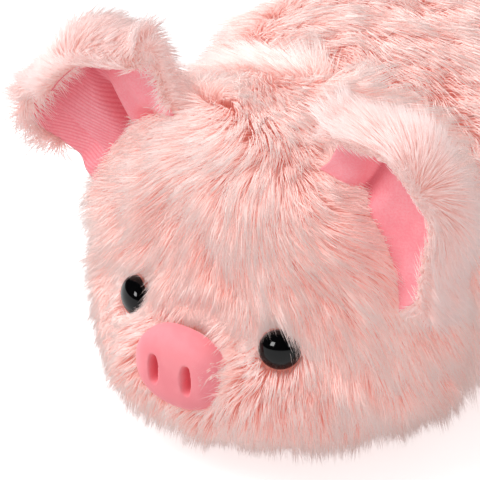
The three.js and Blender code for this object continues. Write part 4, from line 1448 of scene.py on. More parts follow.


# Combing, picked on the photograph: a stroke is a pixel across and down it and the way the
# brush was drawn from there, to the right and down. The pile between the strokes blends.
strokes = {
    "crownRight": [
        (240, 150, -1, 0.05), (200, 150, -1, 0.12), (160, 145, -1, 0.02), (120, 160, -1, 0.12),
        (100, 190, -1, 0.12), (180, 175, -0.85, 0.5), (150, 215, -0.85, 0.5), (120, 235, -0.8, 0.6),
        (100, 240, -0.85, 0.45),
    ],
    "forehead": [
        (215, 175, -0.6, 0.8), (195, 215, -0.45, 0.9), (150, 240, -0.75, 0.65), (180, 245, -0.5, 0.85),
        (200, 250, -0.15, 1), (230, 200, -0.25, 0.95), (225, 230, 0.15, 1), (245, 180, -0.1, 1),
        (250, 210, 0.2, 1), (265, 180, 0.3, 0.95), (280, 200, 0.5, 0.8), (240, 240, 0.4, 0.9),
        (250, 265, 0.45, 0.9), (265, 250, 0.6, 0.75),
    ],
    "browLeft": [
        (290, 225, 0.95, 0.3), (320, 215, 1, -0.02), (300, 240, 0.95, 0.3), (340, 230, 1, 0),
        (340, 250, 1, 0.1), (300, 265, 0.85, 0.5), (330, 270, 0.85, 0.5), (370, 225, 0.95, 0.2),
        (370, 245, 0.9, 0.25), (375, 265, 0.7, 0.6), (390, 275, 0.6, 0.8),
    ],
    "overSnout": [
        (350, 285, 0.4, 0.9), (320, 290, 0.3, 0.95), (290, 290, 0.2, 1), (270, 290, 0.2, 1),
        (250, 300, 0.35, 0.9), (210, 290, -0.15, 1), (225, 290, 0.2, 1), (190, 280, -0.35, 0.9),
        (170, 280, -0.5, 0.85), (200, 320, -0.1, 1), (230, 330, 0, 1), (240, 350, 0, 1),
    ],
    "cheekRight": [
        (90, 240, -0.9, 0.5), (100, 270, -0.7, 0.7), (110, 290, -0.5, 0.85), (110, 340, -0.6, 0.8),
        (150, 320, -0.7, 0.4), (130, 330, -0.75, 0.5), (170, 322, -0.5, 0.5),
    ],
    "chin": [
        (200, 425, -0.25, 0.95), (230, 400, 0, 1), (240, 420, -0.1, 1),
    ],
    "cheekLeft": [
        (320, 330, 0.1, 1), (340, 340, 0.25, 1), (360, 330, 0.4, 0.9), (390, 310, 0.6, 0.75),
        (400, 330, 0.5, 0.85), (420, 320, 0.5, 0.8), (380, 360, 0.4, 0.9), (430, 350, 0.5, 0.85),
        (440, 370, 0.5, 0.8), (350, 390, 0.25, 1), (300, 390, 0.1, 1), (280, 385, -0.1, 1),
        (265, 400, -0.25, 1), (300, 420, 0.05, 1), (350, 430, 0.15, 1), (400, 400, 0.35, 0.9),
    ],
    "crown": [
        (230, 75, 0.75, 0.6), (260, 90, 0.75, 0.65), (290, 105, 0.7, 0.7), (250, 115, 0.8, 0.5),
        (320, 110, 0.6, 0.7), (330, 90, 0.85, 0.5), (200, 80, 0.5, 0.7), (180, 120, -0.9, 0.2),
        (210, 130, -0.95, 0.2), (150, 130, -1, 0.05), (280, 125, 0.7, 0.6), (300, 140, 0.7, 0.5),
        (260, 135, -0.3, 0.5), (320, 150, 0.9, 0.1),
    ],
    "neck": [
        (230, 40, -0.95, 0.2), (250, 40, 0.95, 0.15), (270, 25, 0.95, 0.25), (290, 60, 0.8, 0.5),
        (300, 30, 0.9, 0.3), (350, 20, 0.95, 0.3), (350, 60, 0.6, 0.8), (400, 30, 0.9, 0.35),
        (400, 60, 0.75, 0.6), (440, 40, 0.85, 0.5), (430, 80, 0.7, 0.6), (460, 100, 0.6, 0.8),
        (380, 80, 0.75, 0.6), (455, 130, 0.6, 0.8), (370, 100, 0.7, 0.6),
    ],
    "besideSnout": [
        (215, 332, -0.45, 0.85), (228, 362, -0.35, 0.9), (232, 388, -0.3, 0.95), (190, 324, -0.35, 0.85),
    ],
}

# Small places where the pile is parted down to its roots, picked the same way: a pixel across and
# down the photograph, how wide in millimetres, and how strongly.
partings = {
    "crownLeft": [
        (292, 176, 3.2, 1), (283, 163, 2.6, 0.8), (270, 158, 2.4, 0.8), (257, 156, 2.4, 0.7),
        (246, 156, 2, 0.5), (296, 158, 2.2, 0.6), (303, 188, 2.4, 0.6), (318, 182, 2.6, 0.6),
        (312, 170, 2.6, 0.5), (288, 203, 2.2, 0.5), (262, 175, 2, 0.4),
    ],
    "faceRight": [
        (224, 165, 1.8, 0.4), (214, 182, 1.8, 0.5), (175, 185, 2.2, 0.35), (140, 240, 2.4, 0.5),
        (118, 262, 2.2, 0.4), (150, 228, 2, 0.45), (193, 160, 2.2, 0.35), (155, 148, 2.4, 0.35),
        (210, 122, 3, 0.45), (225, 195, 1.6, 0.4), (235, 235, 1.8, 0.4), (245, 265, 1.6, 0.35),
    ],
    "aboveSnout": [
        (208, 290, 1.8, 0.45), (228, 292, 1.8, 0.5), (333, 290, 2.2, 0.5),
    ],
    "browLeft": [
        (268, 245, 1.6, 0.35), (370, 280, 2.4, 0.55), (385, 282, 2.4, 0.5), (365, 250, 2, 0.4),
        (345, 246, 1.8, 0.35), (315, 265, 1.6, 0.35),
    ],
    "crown": [
        (312, 118, 3.4, 0.9), (252, 110, 2.4, 0.5), (283, 86, 2.2, 0.45), (245, 70, 2, 0.35),
    ],
    "neck": [
        (355, 72, 2, 0.45), (325, 50, 2.4, 0.35), (415, 55, 2.6, 0.5), (425, 67, 2.4, 0.7),
        (408, 86, 2.2, 0.7), (382, 72, 2.2, 0.5), (382, 93, 2, 0.6), (365, 92, 2, 0.5),
    ],
    "shoulder": [
        (455, 85, 2.6, 0.9), (462, 100, 2.8, 0.9), (466, 115, 2.4, 0.8), (455, 110, 2, 0.6),
        (440, 90, 2, 0.5), (450, 125, 2.6, 0.7), (428, 112, 2.2, 0.5), (412, 104, 2, 0.5),
        (395, 98, 2, 0.5), (460, 135, 2.2, 0.6), (455, 68, 2, 0.5), (438, 75, 2, 0.4),
    ],
    "back": [
        (340, 104, 2, 0.4), (445, 15, 2.4, 0.3), (380, 10, 2.6, 0.3), (196, 80, 2.6, 0.6),
        (190, 92, 2.2, 0.5),
    ],
}
# The stretch and the steps in which the sight line through a picked pixel is followed to the pig
sight = {
    "pixels": 480, "near": 1300 * mm, "far": 1950 * mm, "step": 0.5 * mm, "probe": 0.2 * mm,
    "leastFacing": 0.25,
}


# Where the sight lines through pixels of the photograph first come into the head or the body, to a
# millimetre and exactly, and whether it is the head. They run along
# right * across / focal - above * down / focal - back.
def sighted(across, down):
    right, above, back = viewWays()
    focal = sight["pixels"] * view["lens"] / view["filmWidth"]
    level = (across - sight["pixels"] / 2)[:, None] / focal
    drop = (down - sight["pixels"] / 2)[:, None] / focal
    ray = unit(right * level - above * drop - back)
    steps = np.arange(sight["near"], sight["far"], sight["step"])
    line = view["target"] + back * view["distance"] + ray[:, None] * steps[:, None]
    onHead = line[..., 1] <= neckY
    inside = np.where(onHead, ovalDepth(head, 0, line), ovalDepth(trunk, 0, line)) < 1
    each, first = np.arange(len(line)), np.argmax(inside, axis=1)
    return np.round(line[each, first], 3), line[each, first], onHead[each, first]


# A stroke on a form: its place, and its way as seen, tilted along the sight line until it lies in
# the surface. The way out of the surface is how fast the depth grows along each axis.
def strokesOn(form, marks):
    right, above, back = viewWays()
    rounded, exact, onHead = sighted(marks[:, 0], marks[:, 1])
    mine = onHead if form is head else ~onHead
    exact, ways = exact[mine], marks[mine, 2:]
    probe = sight["probe"] * np.eye(3)
    outer, inner = exact[:, None] + probe, exact[:, None] - probe
    normal = unit(ovalDepth(form, 0, outer) - ovalDepth(form, 0, inner))
    seen = right * ways[:, :1] - above * ways[:, 1:]
    tilt = -np.sum(seen * normal, axis=1) / np.maximum(normal @ back, sight["leastFacing"])
    laid = tangent(seen + back * tilt[:, None], normal)
    return np.concatenate([rounded[mine], np.round(laid, 2)], axis=1)


def partingsOn(form, marks):
    rounded, _, onHead = sighted(marks[:, 0], marks[:, 1])
    mine = onHead if form is head else ~onHead
    return np.concatenate([rounded[mine], marks[mine, 2:]], axis=1)


strokeMarks = np.array(sum(strokes.values(), []))
partingMarks = np.array(sum(partings.values(), []))
headStrokes, trunkStrokes = strokesOn(head, strokeMarks), strokesOn(trunk, strokeMarks)
headPartings, trunkPartings = partingsOn(head, partingMarks), partingsOn(trunk, partingMarks)


partingLook = {"spread": 1.35, "shorter": 0.55, "darker": 0.5}


# How far the pile is parted at each point: the strongest exp(-(distance / reach)^2) near it.
def partedAt(points, spots):
    square = ((points[:, None] - spots[None, :, :3]) ** 2).sum(axis=2)
    near = np.exp(-square / (partingLook["spread"] * spots[:, 3] * mm) ** 2)
    return (spots[:, 4] * near).max(axis=1)


# Hairs that would cross a parting are shorter and show the colour of their roots.
def partedLines(lines, tone, spots):
    if spots is None:
        return lines, tone
    strength = np.maximum(partedAt(lines[:, 1], spots), partedAt(lines[:, 2], spots))
    lines = shortened(lines, 1 - partingLook["shorter"] * strength)
    return lines, tone - partingLook["darker"] * strength


combing = {"reach": 10 * mm, "laidFrom": (0.2, 0.85)}


# The combed direction: the strokes nearby weighed by exp(-(distance / reach)^2), those of the
# other side at a part of that, and the plain fall of the pile where there are no strokes. Where
# they disagree the pile stands up, so it also says how far it is laid down, from 0 to 1.
def combed(points, normals, strokes, plain, mirrored, plainWeight):
    total = plain * plainWeight
    weights = plainWeight
    for side, weight in ((1, 1.0), (-1, mirrored)):
        places = mirrorX(strokes[:, :3], side)
        ways = mirrorX(strokes[:, 3:], side)
        square = ((points[:, None] - places[None]) ** 2).sum(axis=2)
        near = weight * np.exp(-square / combing["reach"] ** 2)
        total = total + near @ ways
        weights = weights + near.sum(axis=1)
    agreed = lengthOf(total) / weights
    return tangent(total, normals), smooth(agreed, *combing["laidFrom"])


# Where the pile of chin and cheeks hangs straight down to the floor: below the face on the pig's
# right and in the middle and again on the left cheek, but not in between.
def hanging(points):
    turn = np.degrees(np.arctan2(points[:, 0], head["middleY"] - points[:, 1]))
    return 1 - smooth(turn, 0, 24) * (1 - 0.75 * smooth(turn, 52, 85))


# How near a place is to an ear's seam, in front of it and behind it: 1 at the seam, 0 from 22 mm.
def besideEars(points):
    ahead, behind = np.zeros(len(points)), np.zeros(len(points))
    for side in (1, -1):
        spoke, aside = fromEarSeam(mirrorX(points, side))
        near = 1 - smooth(aside, 8 * mm, 22 * mm)
        ahead = np.maximum(ahead, near * smooth(-spoke[:, 1], -2 * mm, 4 * mm))
        behind = np.maximum(behind, near * smooth(spoke[:, 1], -2 * mm, 2 * mm))
    return ahead, behind


def fromEarSeam(points):
    along = np.clip((points - earUpper) @ earAlongSeam, 0, 2 * earBaseHalfWidth)
    spoke = points - earUpper - along[:, None] * earAlongSeam
    return spoke, lengthOf(spoke)


neckRuffle = (6 * mm, 24 * mm)
headFall = {
    "parting": 3 * mm, "partingWidth": 7 * mm, "topFrom": (0.25, 0.8), "cheekFrom": (0.45, 0.9),
    "rearFrom": (-130 * mm, -100 * mm), "side": 0.4, "fall": (-0.1, -0.9), "topSide": 0.9,
    "topFall": (-0.3, 0), "rearFall": (0.5, 0.2, 0), "mirrored": 0.05, "plain": 0.03,
    "lean": 36 * degree, "bend": 98 * degree, "tone": 0.5, "paintedLowShade": 0.45, "paintedTopLight": 0.24,
}


# The pile of the head. Its plain fall is side * away from the parting + down, with a part for the
# top and one for the rear, and it is shorter and stands up round the snout, the eyes and the ears.
def headStyle(points, normals):
    x, y, z = points.T
    side = np.tanh((x - headFall["parting"]) / headFall["partingWidth"])
    top = smooth(normals[:, 2], *headFall["topFrom"])
    cheek = smooth(np.abs(normals[:, 0]), *headFall["cheekFrom"])
    rear = smooth(y, *headFall["rearFrom"])
    plain = (
        wayOf(side * headFall["side"], *headFall["fall"])
        + top[:, None] * wayOf(side * headFall["topSide"], *headFall["topFall"])
        + rear[:, None] * np.array(headFall["rearFall"])
    )
    comb, laid = combed(points, normals, headStrokes, tangent(plain, normals),
                        headFall["mirrored"], headFall["plain"])
    ruffled = 1 - smooth(np.abs(y - neckY), *neckRuffle)
    drift = waves(points, 30 * mm, 11) * 0.12 + waves(points, 13 * mm, 12) * (0.16 + 0.8 * ruffled)
    comb = swung(comb, normals, drift)
    radius = snoutRadius(points)
    nearSnout = smooth(radius, 1.0, 2.3)
    overRim = smooth((z - snout["z"]) / snout["halfHeight"] + 0.4 * x / snout["halfWidth"], 0, 0.6)
    length = (9.5 + 2 * overRim + (12.5 - 2 * overRim) * nearSnout) * mm
    upright = (1 - smooth(radius, 1.0, 1.7)) * (1 - 0.9 * overRim)
    over = 0.8 * overRim * (1 - smooth(radius, 1.15, 1.9))
    comb = tangent(comb + over[:, None] * (unit(snoutPlace["middle"] - points) - comb), normals)
    length = length * (1 - 0.2 * over)
    for place in eyePlaces.values():
        spoke = points - place["middle"]
        aside = lengthOf(spoke)
        length = length * (0.6 + 0.4 * smooth(aside, 9 * mm, 20 * mm))
        away = tangent(spoke, normals)
        inward = np.minimum(np.sum(comb * away, axis=1), 0) * (1 - smooth(aside, 9 * mm, 16 * mm))
        comb = tangent(comb - 0.75 * inward[:, None] * away, normals)
    ahead, behind = besideEars(points)
    forward = np.maximum(-comb[:, 1], 0) + 0.3
    comb = tangent(comb + behind[:, None] * forward[:, None] * np.array([0, 1, 0]), normals)
    hang = hanging(points)
    chin = 1 - smooth(z, 4 * mm, 26 * mm)
    length = length * (1 - chin * (0.22 + 0.33 * (1 - hang))) * (1 + 0.14 * waves(points, 22 * mm, 13))
    onRight = smooth(-normals[:, 0], 0.35, 0.85)
    length = length * (1 + onRight * (0.4 * bump(z, 88 * mm, 16 * mm) - 0.35 * bump(z, 38 * mm, 16 * mm)))
    length = length * (1 - 0.68 * (1 - smooth(z, 4 * mm, 16 * mm)))
    length = length * (0.8 + 0.2 * laid) * (1 - 0.35 * ahead * smooth(z, 78 * mm, 100 * mm))
    lean = headFall["lean"] - 20 * degree * upright + 8 * degree * waves(points, 20 * mm, 14)
    lean = lean * (0.6 + 0.4 * laid) + 14 * degree * ahead
    below = np.arcsin(np.clip(-normals[:, 2], 0, 1))
    bend = headFall["bend"] - 1.1 * below * hang - 38 * degree * upright
    bend = bend * (0.8 + 0.2 * laid) * (1 - 0.3 * ruffled)
    lean = lean * (1 - 0.5 * ruffled)
    sag = 0.15 + 0.3 * cheek + 0.8 * hang * chin
    tone = headFall["tone"] + 0.14 * waves(points, 30 * mm, 15) + 0.1 * waves(points, 9 * mm, 16)
    # Painted light and shade: the pile is darker low down near the floor and lighter where it faces up.
    tone = tone - headFall["paintedLowShade"] * (1 - smooth(z, 2 * mm, 20 * mm)) + headFall["paintedTopLight"] * top
    return comb, length, lean, bend, sag, tone


trunkFall = {
    "parting": -62 * mm, "partingWidth": 14 * mm, "topFrom": (0.1, 0.8),
    "rearFrom": (-25 * mm, 45 * mm), "side": 0.35, "fall": (-0.2, -1), "topSide": 1.4,
    "topFall": (-0.3, 0.6), "outwards": 0.9, "backwards": (1, -0.5), "mirrored": 0, "plain": 0.1,
    "length": 21 * mm, "lean": 36 * degree, "bend": 98 * degree, "tone": 0.68,
}


def trunkStyle(points, normals):
    x, y, z = points.T
    top = smooth(normals[:, 2], *trunkFall["topFrom"])
    side = np.tanh((x - trunkFall["parting"]) / trunkFall["partingWidth"])
    plain = (
        wayOf(side * trunkFall["side"], *trunkFall["fall"])
        + top[:, None] * wayOf(side * trunkFall["topSide"], *trunkFall["topFall"])
    )
    # Behind the shoulders the pile falls backwards and outwards.
    rear = smooth(y, *trunkFall["rearFrom"])[:, None]
    backwards = wayOf(trunkFall["outwards"] * x / trunk["halfWidth"], *trunkFall["backwards"])
    plain = plain * (1 - rear) + backwards * rear
    comb, laid = combed(points, normals, trunkStrokes, tangent(plain, normals),
                        trunkFall["mirrored"], trunkFall["plain"])
    laid = laid * (0.3 + 0.7 * np.maximum(np.maximum(np.abs(side), 1 - top), rear[:, 0]))
    ruffled = 1 - smooth(np.abs(y - neckY), *neckRuffle)
    drift = waves(points, 34 * mm, 21) * 0.25 + waves(points, 14 * mm, 22) * (0.3 + 0.8 * ruffled)
    comb = swung(comb, normals, drift)
    low = smooth(z, 6 * mm, 30 * mm)
    length = trunkFall["length"] * (1 + 0.16 * waves(points, 20 * mm, 23))
    length = length * (0.6 + 0.4 * low) * (0.75 + 0.25 * laid)
    lean = (trunkFall["lean"] + 10 * degree * waves(points, 14 * mm, 24)) * (0.4 + 0.6 * laid)
    bend = trunkFall["bend"] * (0.7 + 0.3 * laid) * (1 - 0.35 * ruffled)
    lean = lean * (1 - 0.5 * ruffled)
    sag = 0.15 + 0.4 * (1 - top)
    tone = trunkFall["tone"] + 0.12 * waves(points, 26 * mm, 25) + 0.12 * waves(points, 8 * mm, 26)
    return comb, length, lean, bend, sag, tone


def surfaceOf(grid, outFrom):
    points = grid.reshape(-1, 3)
    triangles = trianglesOf(grid)
    normals, areas = vertexNormals(points, triangles, outFrom)
    return points, triangles, normals, areas


headLooks = {
    "hairs": 18900, "tufts": 3000, "locks": 420, "lockPull": 0.26, "lockSpread": 0.16,
    "lockTone": 0.09, "width": 0.36 * mm, "clump": 0.7, "tuftSwing": 0.2, "hairSwing": 0.12,
    "leanJitter": 0.1, "lengthSpread": 0.4, "tuftTone": 0.12, "hairTone": 0.08, "overFace": True,
    "overTrunk": 3.5 * mm, "clearance": 8.5 * mm, "partings": headPartings,
}
trunkLooks = dict(headLooks, hairs=12800, tufts=2000, width=0.44 * mm, clump=0.4, clearance=0,
                  overFace=False, partings=trunkPartings)
legLooks = dict(headLooks, hairs=3000, tufts=400, locks=80, width=0.4 * mm, clearance=0, overFace=False,
                overTrunk=0, partings=None)
earLooks = dict(headLooks, hairs=12500, tufts=2600, locks=200, lockPull=0.1, lockSpread=0.1, lockTone=0.03,
                width=0.3 * mm, clump=0.3, tuftSwing=0.12, tuftTone=0.06, hairTone=0.06, overFace=False,
                overTrunk=0, partings=None)


def outside(form):
    return lambda points: points - middleOf(form)


# No hair grows under the eyes, the snout or the ear seams, and few where the pig lies on them.
def headDensity(points):
    keep = np.ones(len(points))
    for place in eyePlaces.values():
        aside, height = fromAxis(points, place["middle"], place["out"])
        keep = keep * ((aside > eye["radius"] - 0.6 * mm) | (height < -20 * mm))
    keep = keep * (snoutRadius(points) > 1.02)
    for side in (1, -1):
        spoke, aside = fromEarSeam(mirrorX(points, side))
        keep = keep * np.where((aside < 14 * mm) & (np.abs(spoke[:, 1]) < 1.2 * mm), 0.1, 1)
    low = 0.12 + 0.88 * smooth(points[:, 2], 1.5 * mm, 9 * mm)
    seen = 0.6 + 0.4 * smooth(-points[:, 1], 90 * mm, 115 * mm)
    return keep * low * seen


def trunkDensity(points):
    low = 0.1 + 0.9 * smooth(points[:, 2], 2 * mm, 12 * mm)
    ahead = 0.5 + 0.5 * smooth(-points[:, 1], -60 * mm, 10 * mm)
    keep = np.ones(len(points))
    for place in legPlaces.values():
        pivot, forwards = legPivot(place)
        for side in (1, -1):
            aside, _ = fromAxis(mirrorX(points, side), pivot, forwards)
            inside = (aside < leg["radius"] - 4 * mm) & (mirrorX(points, side)[:, 0] > 0)
            keep = keep * np.where(inside, 0.08, 1)
    return keep * low * ahead


def makeTrunkPile():
    number = 100
    for side, word in sideNames.items():
        for part in ("under", "over"):
            for form, panel, name, style, density, looks in (
                (head, headPanel, "head", headStyle, headDensity, headLooks),
                (trunk, backPanel, "back", trunkStyle, trunkDensity, trunkLooks),
            ):
                number += 1
                rng = np.random.default_rng(number)
                surface = surfaceOf(panel(side, peltInset), outside(form))
                lines, tone = pileLines(surface, style, density, looks, rng)
                growPile(f"{word}_{name}_pile_{part}", lines, tone, "trunk", pileHair, looks, rng)
    rng = np.random.default_rng(99)
    looks = dict(trunkLooks, hairs=2600, tufts=400)
    surface = surfaceOf(bellyPanel(peltInset), outside(trunk))
    lines, tone = pileLines(surface, trunkStyle, trunkDensity, looks, rng)
    growPile("belly_pile", lines, tone, "trunk", pileHair, looks, rng)


# Fine hairs rooted close round the eyes and the snout that lie a little over their edges.
fringe = {
    "looks": dict(headLooks, hairs=2600, tufts=1000, lockPull=0, width=0.24 * mm, clump=0.2,
                  hairSwing=0.45, tuftSwing=0.3, partings=None),
    "length": 6.5 * mm, "snoutLength": 12 * mm, "overlap": 0.7, "clearance": 0.25 * mm,
    "eyeUnder": 0.3 * mm, "eyeReach": 3 * mm, "eyeBehind": 15 * mm, "snoutReach": 1.22,
    "eyeTurn": {1: 100 * degree, -1: 15 * degree},
    "eyeSpan": {1: 105 * degree, -1: 100 * degree},
    "snoutTurn": 48 * degree, "snoutSpan": 85 * degree,
}


# Which way round a place a point lies, and its distance from the axis of the place
def turnRound(points, place):
    spoke = points - place["middle"]
    across, rise = spoke @ place["across"], spoke @ up
    return np.arctan2(rise, across), np.hypot(across, rise), spoke @ place["out"]


def inSpan(turn, middle, span):
    aside = np.abs((turn - middle + math.pi) % (2 * math.pi) - math.pi)
    return 1 - smooth(aside, span * 0.7, span)


def fringeDensity(points):
    total = np.zeros(len(points))
    for side, place in eyePlaces.items():
        turn, aside, out = turnRound(points, place)
        past = aside - eye["radius"]
        ring = (past > -fringe["eyeUnder"]) & (past < fringe["eyeReach"]) & (out > -fringe["eyeBehind"])
        total += ring * inSpan(turn, fringe["eyeTurn"][side], fringe["eyeSpan"][side])
    turn, aside, out = turnRound(points, snoutPlace)
    radius = snoutRadius(points)
    ring = (radius > 1.0) & (radius < fringe["snoutReach"])
    return total + ring * inSpan(turn, fringe["snoutTurn"], fringe["snoutSpan"]) + 1e-9


def fringeStyle(points, normals):
    toSnout = snoutPlace["middle"] - points
    distances = [lengthOf(toSnout) - snout["halfHeight"]]
    ways = [toSnout]
    for place in eyePlaces.values():
        ways.append(place["middle"] - points)
        distances.append(lengthOf(ways[-1]) - eye["radius"])
    chosen = np.argmin(distances, axis=0)
    comb = tangent(np.stack(ways)[chosen, np.arange(len(points))], normals)
    comb = tangent(comb + np.array([0, 0, -0.5]), normals)
    atSnout = chosen == 0
    length = np.where(atSnout, fringe["snoutLength"], fringe["length"])
    lean = np.where(atSnout, 8 * degree, 35 * degree)
    bend = np.where(atSnout, 104 * degree, 88 * degree)
    same = np.ones(len(points))
    return comb, length, lean, bend, 0.1 * same, 0.66 * same


def makeFringe():
    for number, (side, word) in enumerate(sideNames.items()):
        rng = np.random.default_rng(300 + number)
        surface = surfaceOf(headPanel(side, peltInset), outside(head))
        lines, tone = pileLines(surface, fringeStyle, fringeDensity, fringe["looks"], rng)
        growPile(f"{word}_face_fringe", lines, tone, "trunk", pileHair, fringe["looks"], rng)


def makeLegPile():
    along = np.linspace(0, math.pi, leg["pileRows"])[:, None]
    around = np.linspace(0, 2 * math.pi, leg["pileColumns"])[None, :]
    for leaf, place in legPlaces.items():
        pivot, ahead = legPivot(place)
        grid = aboveFloor(legPoints(place, leg["inset"], along, around))

        def density(points):
            free = ovalDepth(trunk, -2 * mm, points) > 1
            return free * (0.1 + 0.9 * smooth(points[:, 2], 1.5 * mm, 8 * mm)) + 1e-9

        for side, word in sideNames.items():
            axis = mirrorX(ahead, side)
            middle = mirrorX(pivot + ahead * leg["halfLength"] / 2, side)

            def style(points, normals, axis=axis):
                comb = tangent(axis + np.array([0, 0, -0.5]) + 0 * normals, normals)
                comb = swung(comb, normals, waves(points, 16 * mm, 31) * 0.4)
                length = 13 * mm * (1 + 0.2 * waves(points, 14 * mm, 32))
                same = np.ones(len(points))
                tone = 0.8 + 0.12 * waves(points, 18 * mm, 33)
                return comb, length, 36 * degree * same, 95 * degree * same, 0.3 * same, tone

            rng = np.random.default_rng(400 + 10 * side + len(leaf))
            surface = surfaceOf(mirrorX(grid, side), lambda points, middle=middle: points - middle)
            lines, tone = pileLines(surface, style, density, legLooks, rng)
            growPile(f"{word}_{leaf}_pile", lines, tone, f"{word}_{leaf}", pileHair, legLooks, rng)


# The ear's pile stands out from a point near the folded tip and runs back over the fold.
earPile = {
    "heartAcross": {1: 2 * mm, -1: -4 * mm},
    "heartAlong": {1: 47 * mm, -1: 53 * mm},
    "length": {1: 15 * mm, -1: 13 * mm},
    "tipLength": 0.6, "rimHairs": 4200, "rimLength": 9 * mm,
    "rimEndLength": {1: 4 * mm, -1: 8.5 * mm},
    "rimOuter": {1: 0, -1: 7 * mm},
    "overLining": {1: 0.25, -1: 0.5},
    "bareEdge": {1: 0, -1: 0.34},
    "bareUpper": {1: 0.4, -1: 1},
}


def makeEarPile():
    rows, columns = 70, 80
    for side, word in sideNames.items():
        heart = np.array([earPile["heartAcross"][side], earPile["heartAlong"][side]])
        across, along = earSheet(rows, columns, 0.0, side)
        folds = liningFolds(across, along, side) * ear["backingFollows"]
        outer = earPoints(across, along, folds - ear["backing"], side)
        inner = earPoints(across, along, folds, side)
        flat = np.stack([across * ear["halfWidth"], along], -1)
        alongWay = unit(np.gradient(outer, axis=0))
        acrossWay = unit(np.gradient(outer, axis=1))
        ways = outer, outer - inner, alongWay, acrossWay
        places, out, alongHere, acrossHere = (mirrorX(way, side).reshape(-1, 3) for way in ways)
        flatHere = flat.reshape(-1, 2)
        row, column = np.indices(outer.shape[:2])
        stepAlong = lengthOf(np.diff(outer, axis=0)).mean()
        stepAcross = lengthOf(np.diff(outer, axis=1)).mean()
        toTipEdge = (rows - 1 - row) * stepAlong
        toSideEdge = np.minimum(column, columns - 1 - column) * stepAcross
        rimDistance = np.minimum(toTipEdge, toSideEdge).ravel()

        def style(points, normals, heart=heart, side=side):
            index = nearest(points, places)
            away = unit(flatHere[index] - heart)
            comb = tangent(alongHere[index] * away[:, 1:] + acrossHere[index] * away[:, :1], normals)
            comb = swung(comb, normals, waves(points, 18 * mm, 41) * 0.25)
            toTip = smooth(flatHere[index][:, 1] / earLength, 0.72, 0.95)
            length = earPile["length"][side] * (1 + 0.15 * waves(points, 12 * mm, 42))
            length = length * (1 - (1 - earPile["tipLength"]) * toTip)
            same = np.ones(len(points))
            fromHeart = smooth(lengthOf(flatHere[index] - heart), 0, 14 * mm)
            fromHeart = fromHeart * (0.35 + 0.65 * smooth(rimDistance[index], 0, 5 * mm))
            lean = 8 * degree + 30 * degree * fromHeart
            bend = lean + 20 * degree + 24 * degree * fromHeart
            tone = 0.55 + 0.12 * waves(points, 16 * mm, 43)
            return comb, length, lean, bend, 0.1 * same, tone

        def density(points):
            index = nearest(points, places)
            across, along = flatHere[index].T
            edge = np.maximum(np.abs(across) / ear["halfWidth"], along / earLength)
            return 0.8 + 0.8 * smooth(edge, 0.8, 1)

        rng = np.random.default_rng(500 + side)
        surface = surfaceOf(mirrorX(outer, side), lambda points: out)
        lines, tone = pileLines(surface, style, density, earLooks, rng)
        rimLines, rimTone = earRim(mirrorX(outer, side), mirrorX(inner, side), side, rng)
        lines, tone = np.concatenate([lines, rimLines]), np.concatenate([tone, rimTone])
        growPile(f"{word}_ear_pile", lines, tone, f"{word}_ear", earHair, earLooks, rng)


# The points along the free edge of a grid, or along a line inside it
def freeEdge(grid, inside=0):
    return np.concatenate([grid[:, inside], grid[-1 - inside, 1:-1], grid[::-1, -1 - inside]])


# Soft hairs along the free edges of an ear. They spring from the whole thickness of the edge and
# turn back over the fur side; at the two ends a few fall over the lining.
def earRim(outer, inner, side, rng):
    rows, columns = outer.shape[:2]
    path, under, inward = freeEdge(outer), freeEdge(inner), freeEdge(outer, 3)
    fromTip = np.linspace(1, 0, rows)
    upperEnd = np.concatenate([fromTip, np.zeros(columns - 2 + rows)])
    lowerEnd = np.concatenate([np.zeros(rows + columns - 2), fromTip[::-1]])
    tip = np.concatenate([np.zeros(rows), np.ones(columns - 2), np.zeros(rows)])
    steps = lengthOf(np.diff(path, axis=0))
    reach = np.concatenate([[0], np.cumsum(steps)])
    place = rng.uniform(3 * mm, reach[-1] - 3 * mm, earPile["rimHairs"])
    at = lambda values: np.interp(place, reach, values)
    bare = (at(lowerEnd) > 1 - earPile["bareEdge"][side]) | (at(upperEnd) > earPile["bareUpper"][side])
    place = place[~bare]
    column = lambda values: np.stack([at(values[:, axis]) for axis in range(3)], -1)
    depth = rng.uniform(0, 1, len(place))[:, None]
    root = column(path) * (1 - depth) + column(under) * depth
    normal = unit(column(path) - column(inward))
    facing = tangent(column(under) - column(path), normal)
    overShare = earPile["overLining"][side] * (1 - at(tip))
    over = np.where(rng.uniform(size=len(place)) < overShare, 1, -1)[:, None]
    shorter = earPile["rimEndLength"][side] - earPile["rimLength"]
    length = earPile["rimLength"] + shorter * smooth(at(upperEnd), 0, 0.3)
    length = length + earPile["rimOuter"][side] * smooth(at(lowerEnd), 0, 0.15)
    length = length * rng.uniform(0.55, 1.15, len(place))
    comb = swung(facing * over, normal, rng.normal(size=len(place)) * 0.5)
    lean = np.radians(rng.uniform(15, 60, len(place)) + 35 * at(tip))
    lines = middleLines(root, normal, comb, length, lean, lean + 50 * degree, 0.1 + 0 * lean)
    return lines, 0.6 + 0.12 * rng.normal(size=len(place))


# Studio: a pale floor, two soft boxes that the eyes show, a large soft top light, a pale world

studio = {
    "floor": srgb(202, 204, 204), "floorGlow": 0.68, "world": 0.66, "worldInEyes": 0.02,
    "floorHalf": 30, "aim": (0, -0.12, 0.05),
    "boxes": [
        {"name": "boxFront", "azimuth": -4, "elevation": 27, "distance": 1.4, "size": 0.46, "power": 12,
         "inEyes": True, "onFur": False},
        {"name": "boxSide", "azimuth": 79, "elevation": 21, "distance": 1.4, "size": 0.34, "power": 4,
         "inEyes": True, "onFur": False},
        {"name": "boxTop", "azimuth": -60, "elevation": 54, "distance": 1.7, "size": 1.6, "power": 28,
         "inEyes": False, "onFur": True},
    ],
}


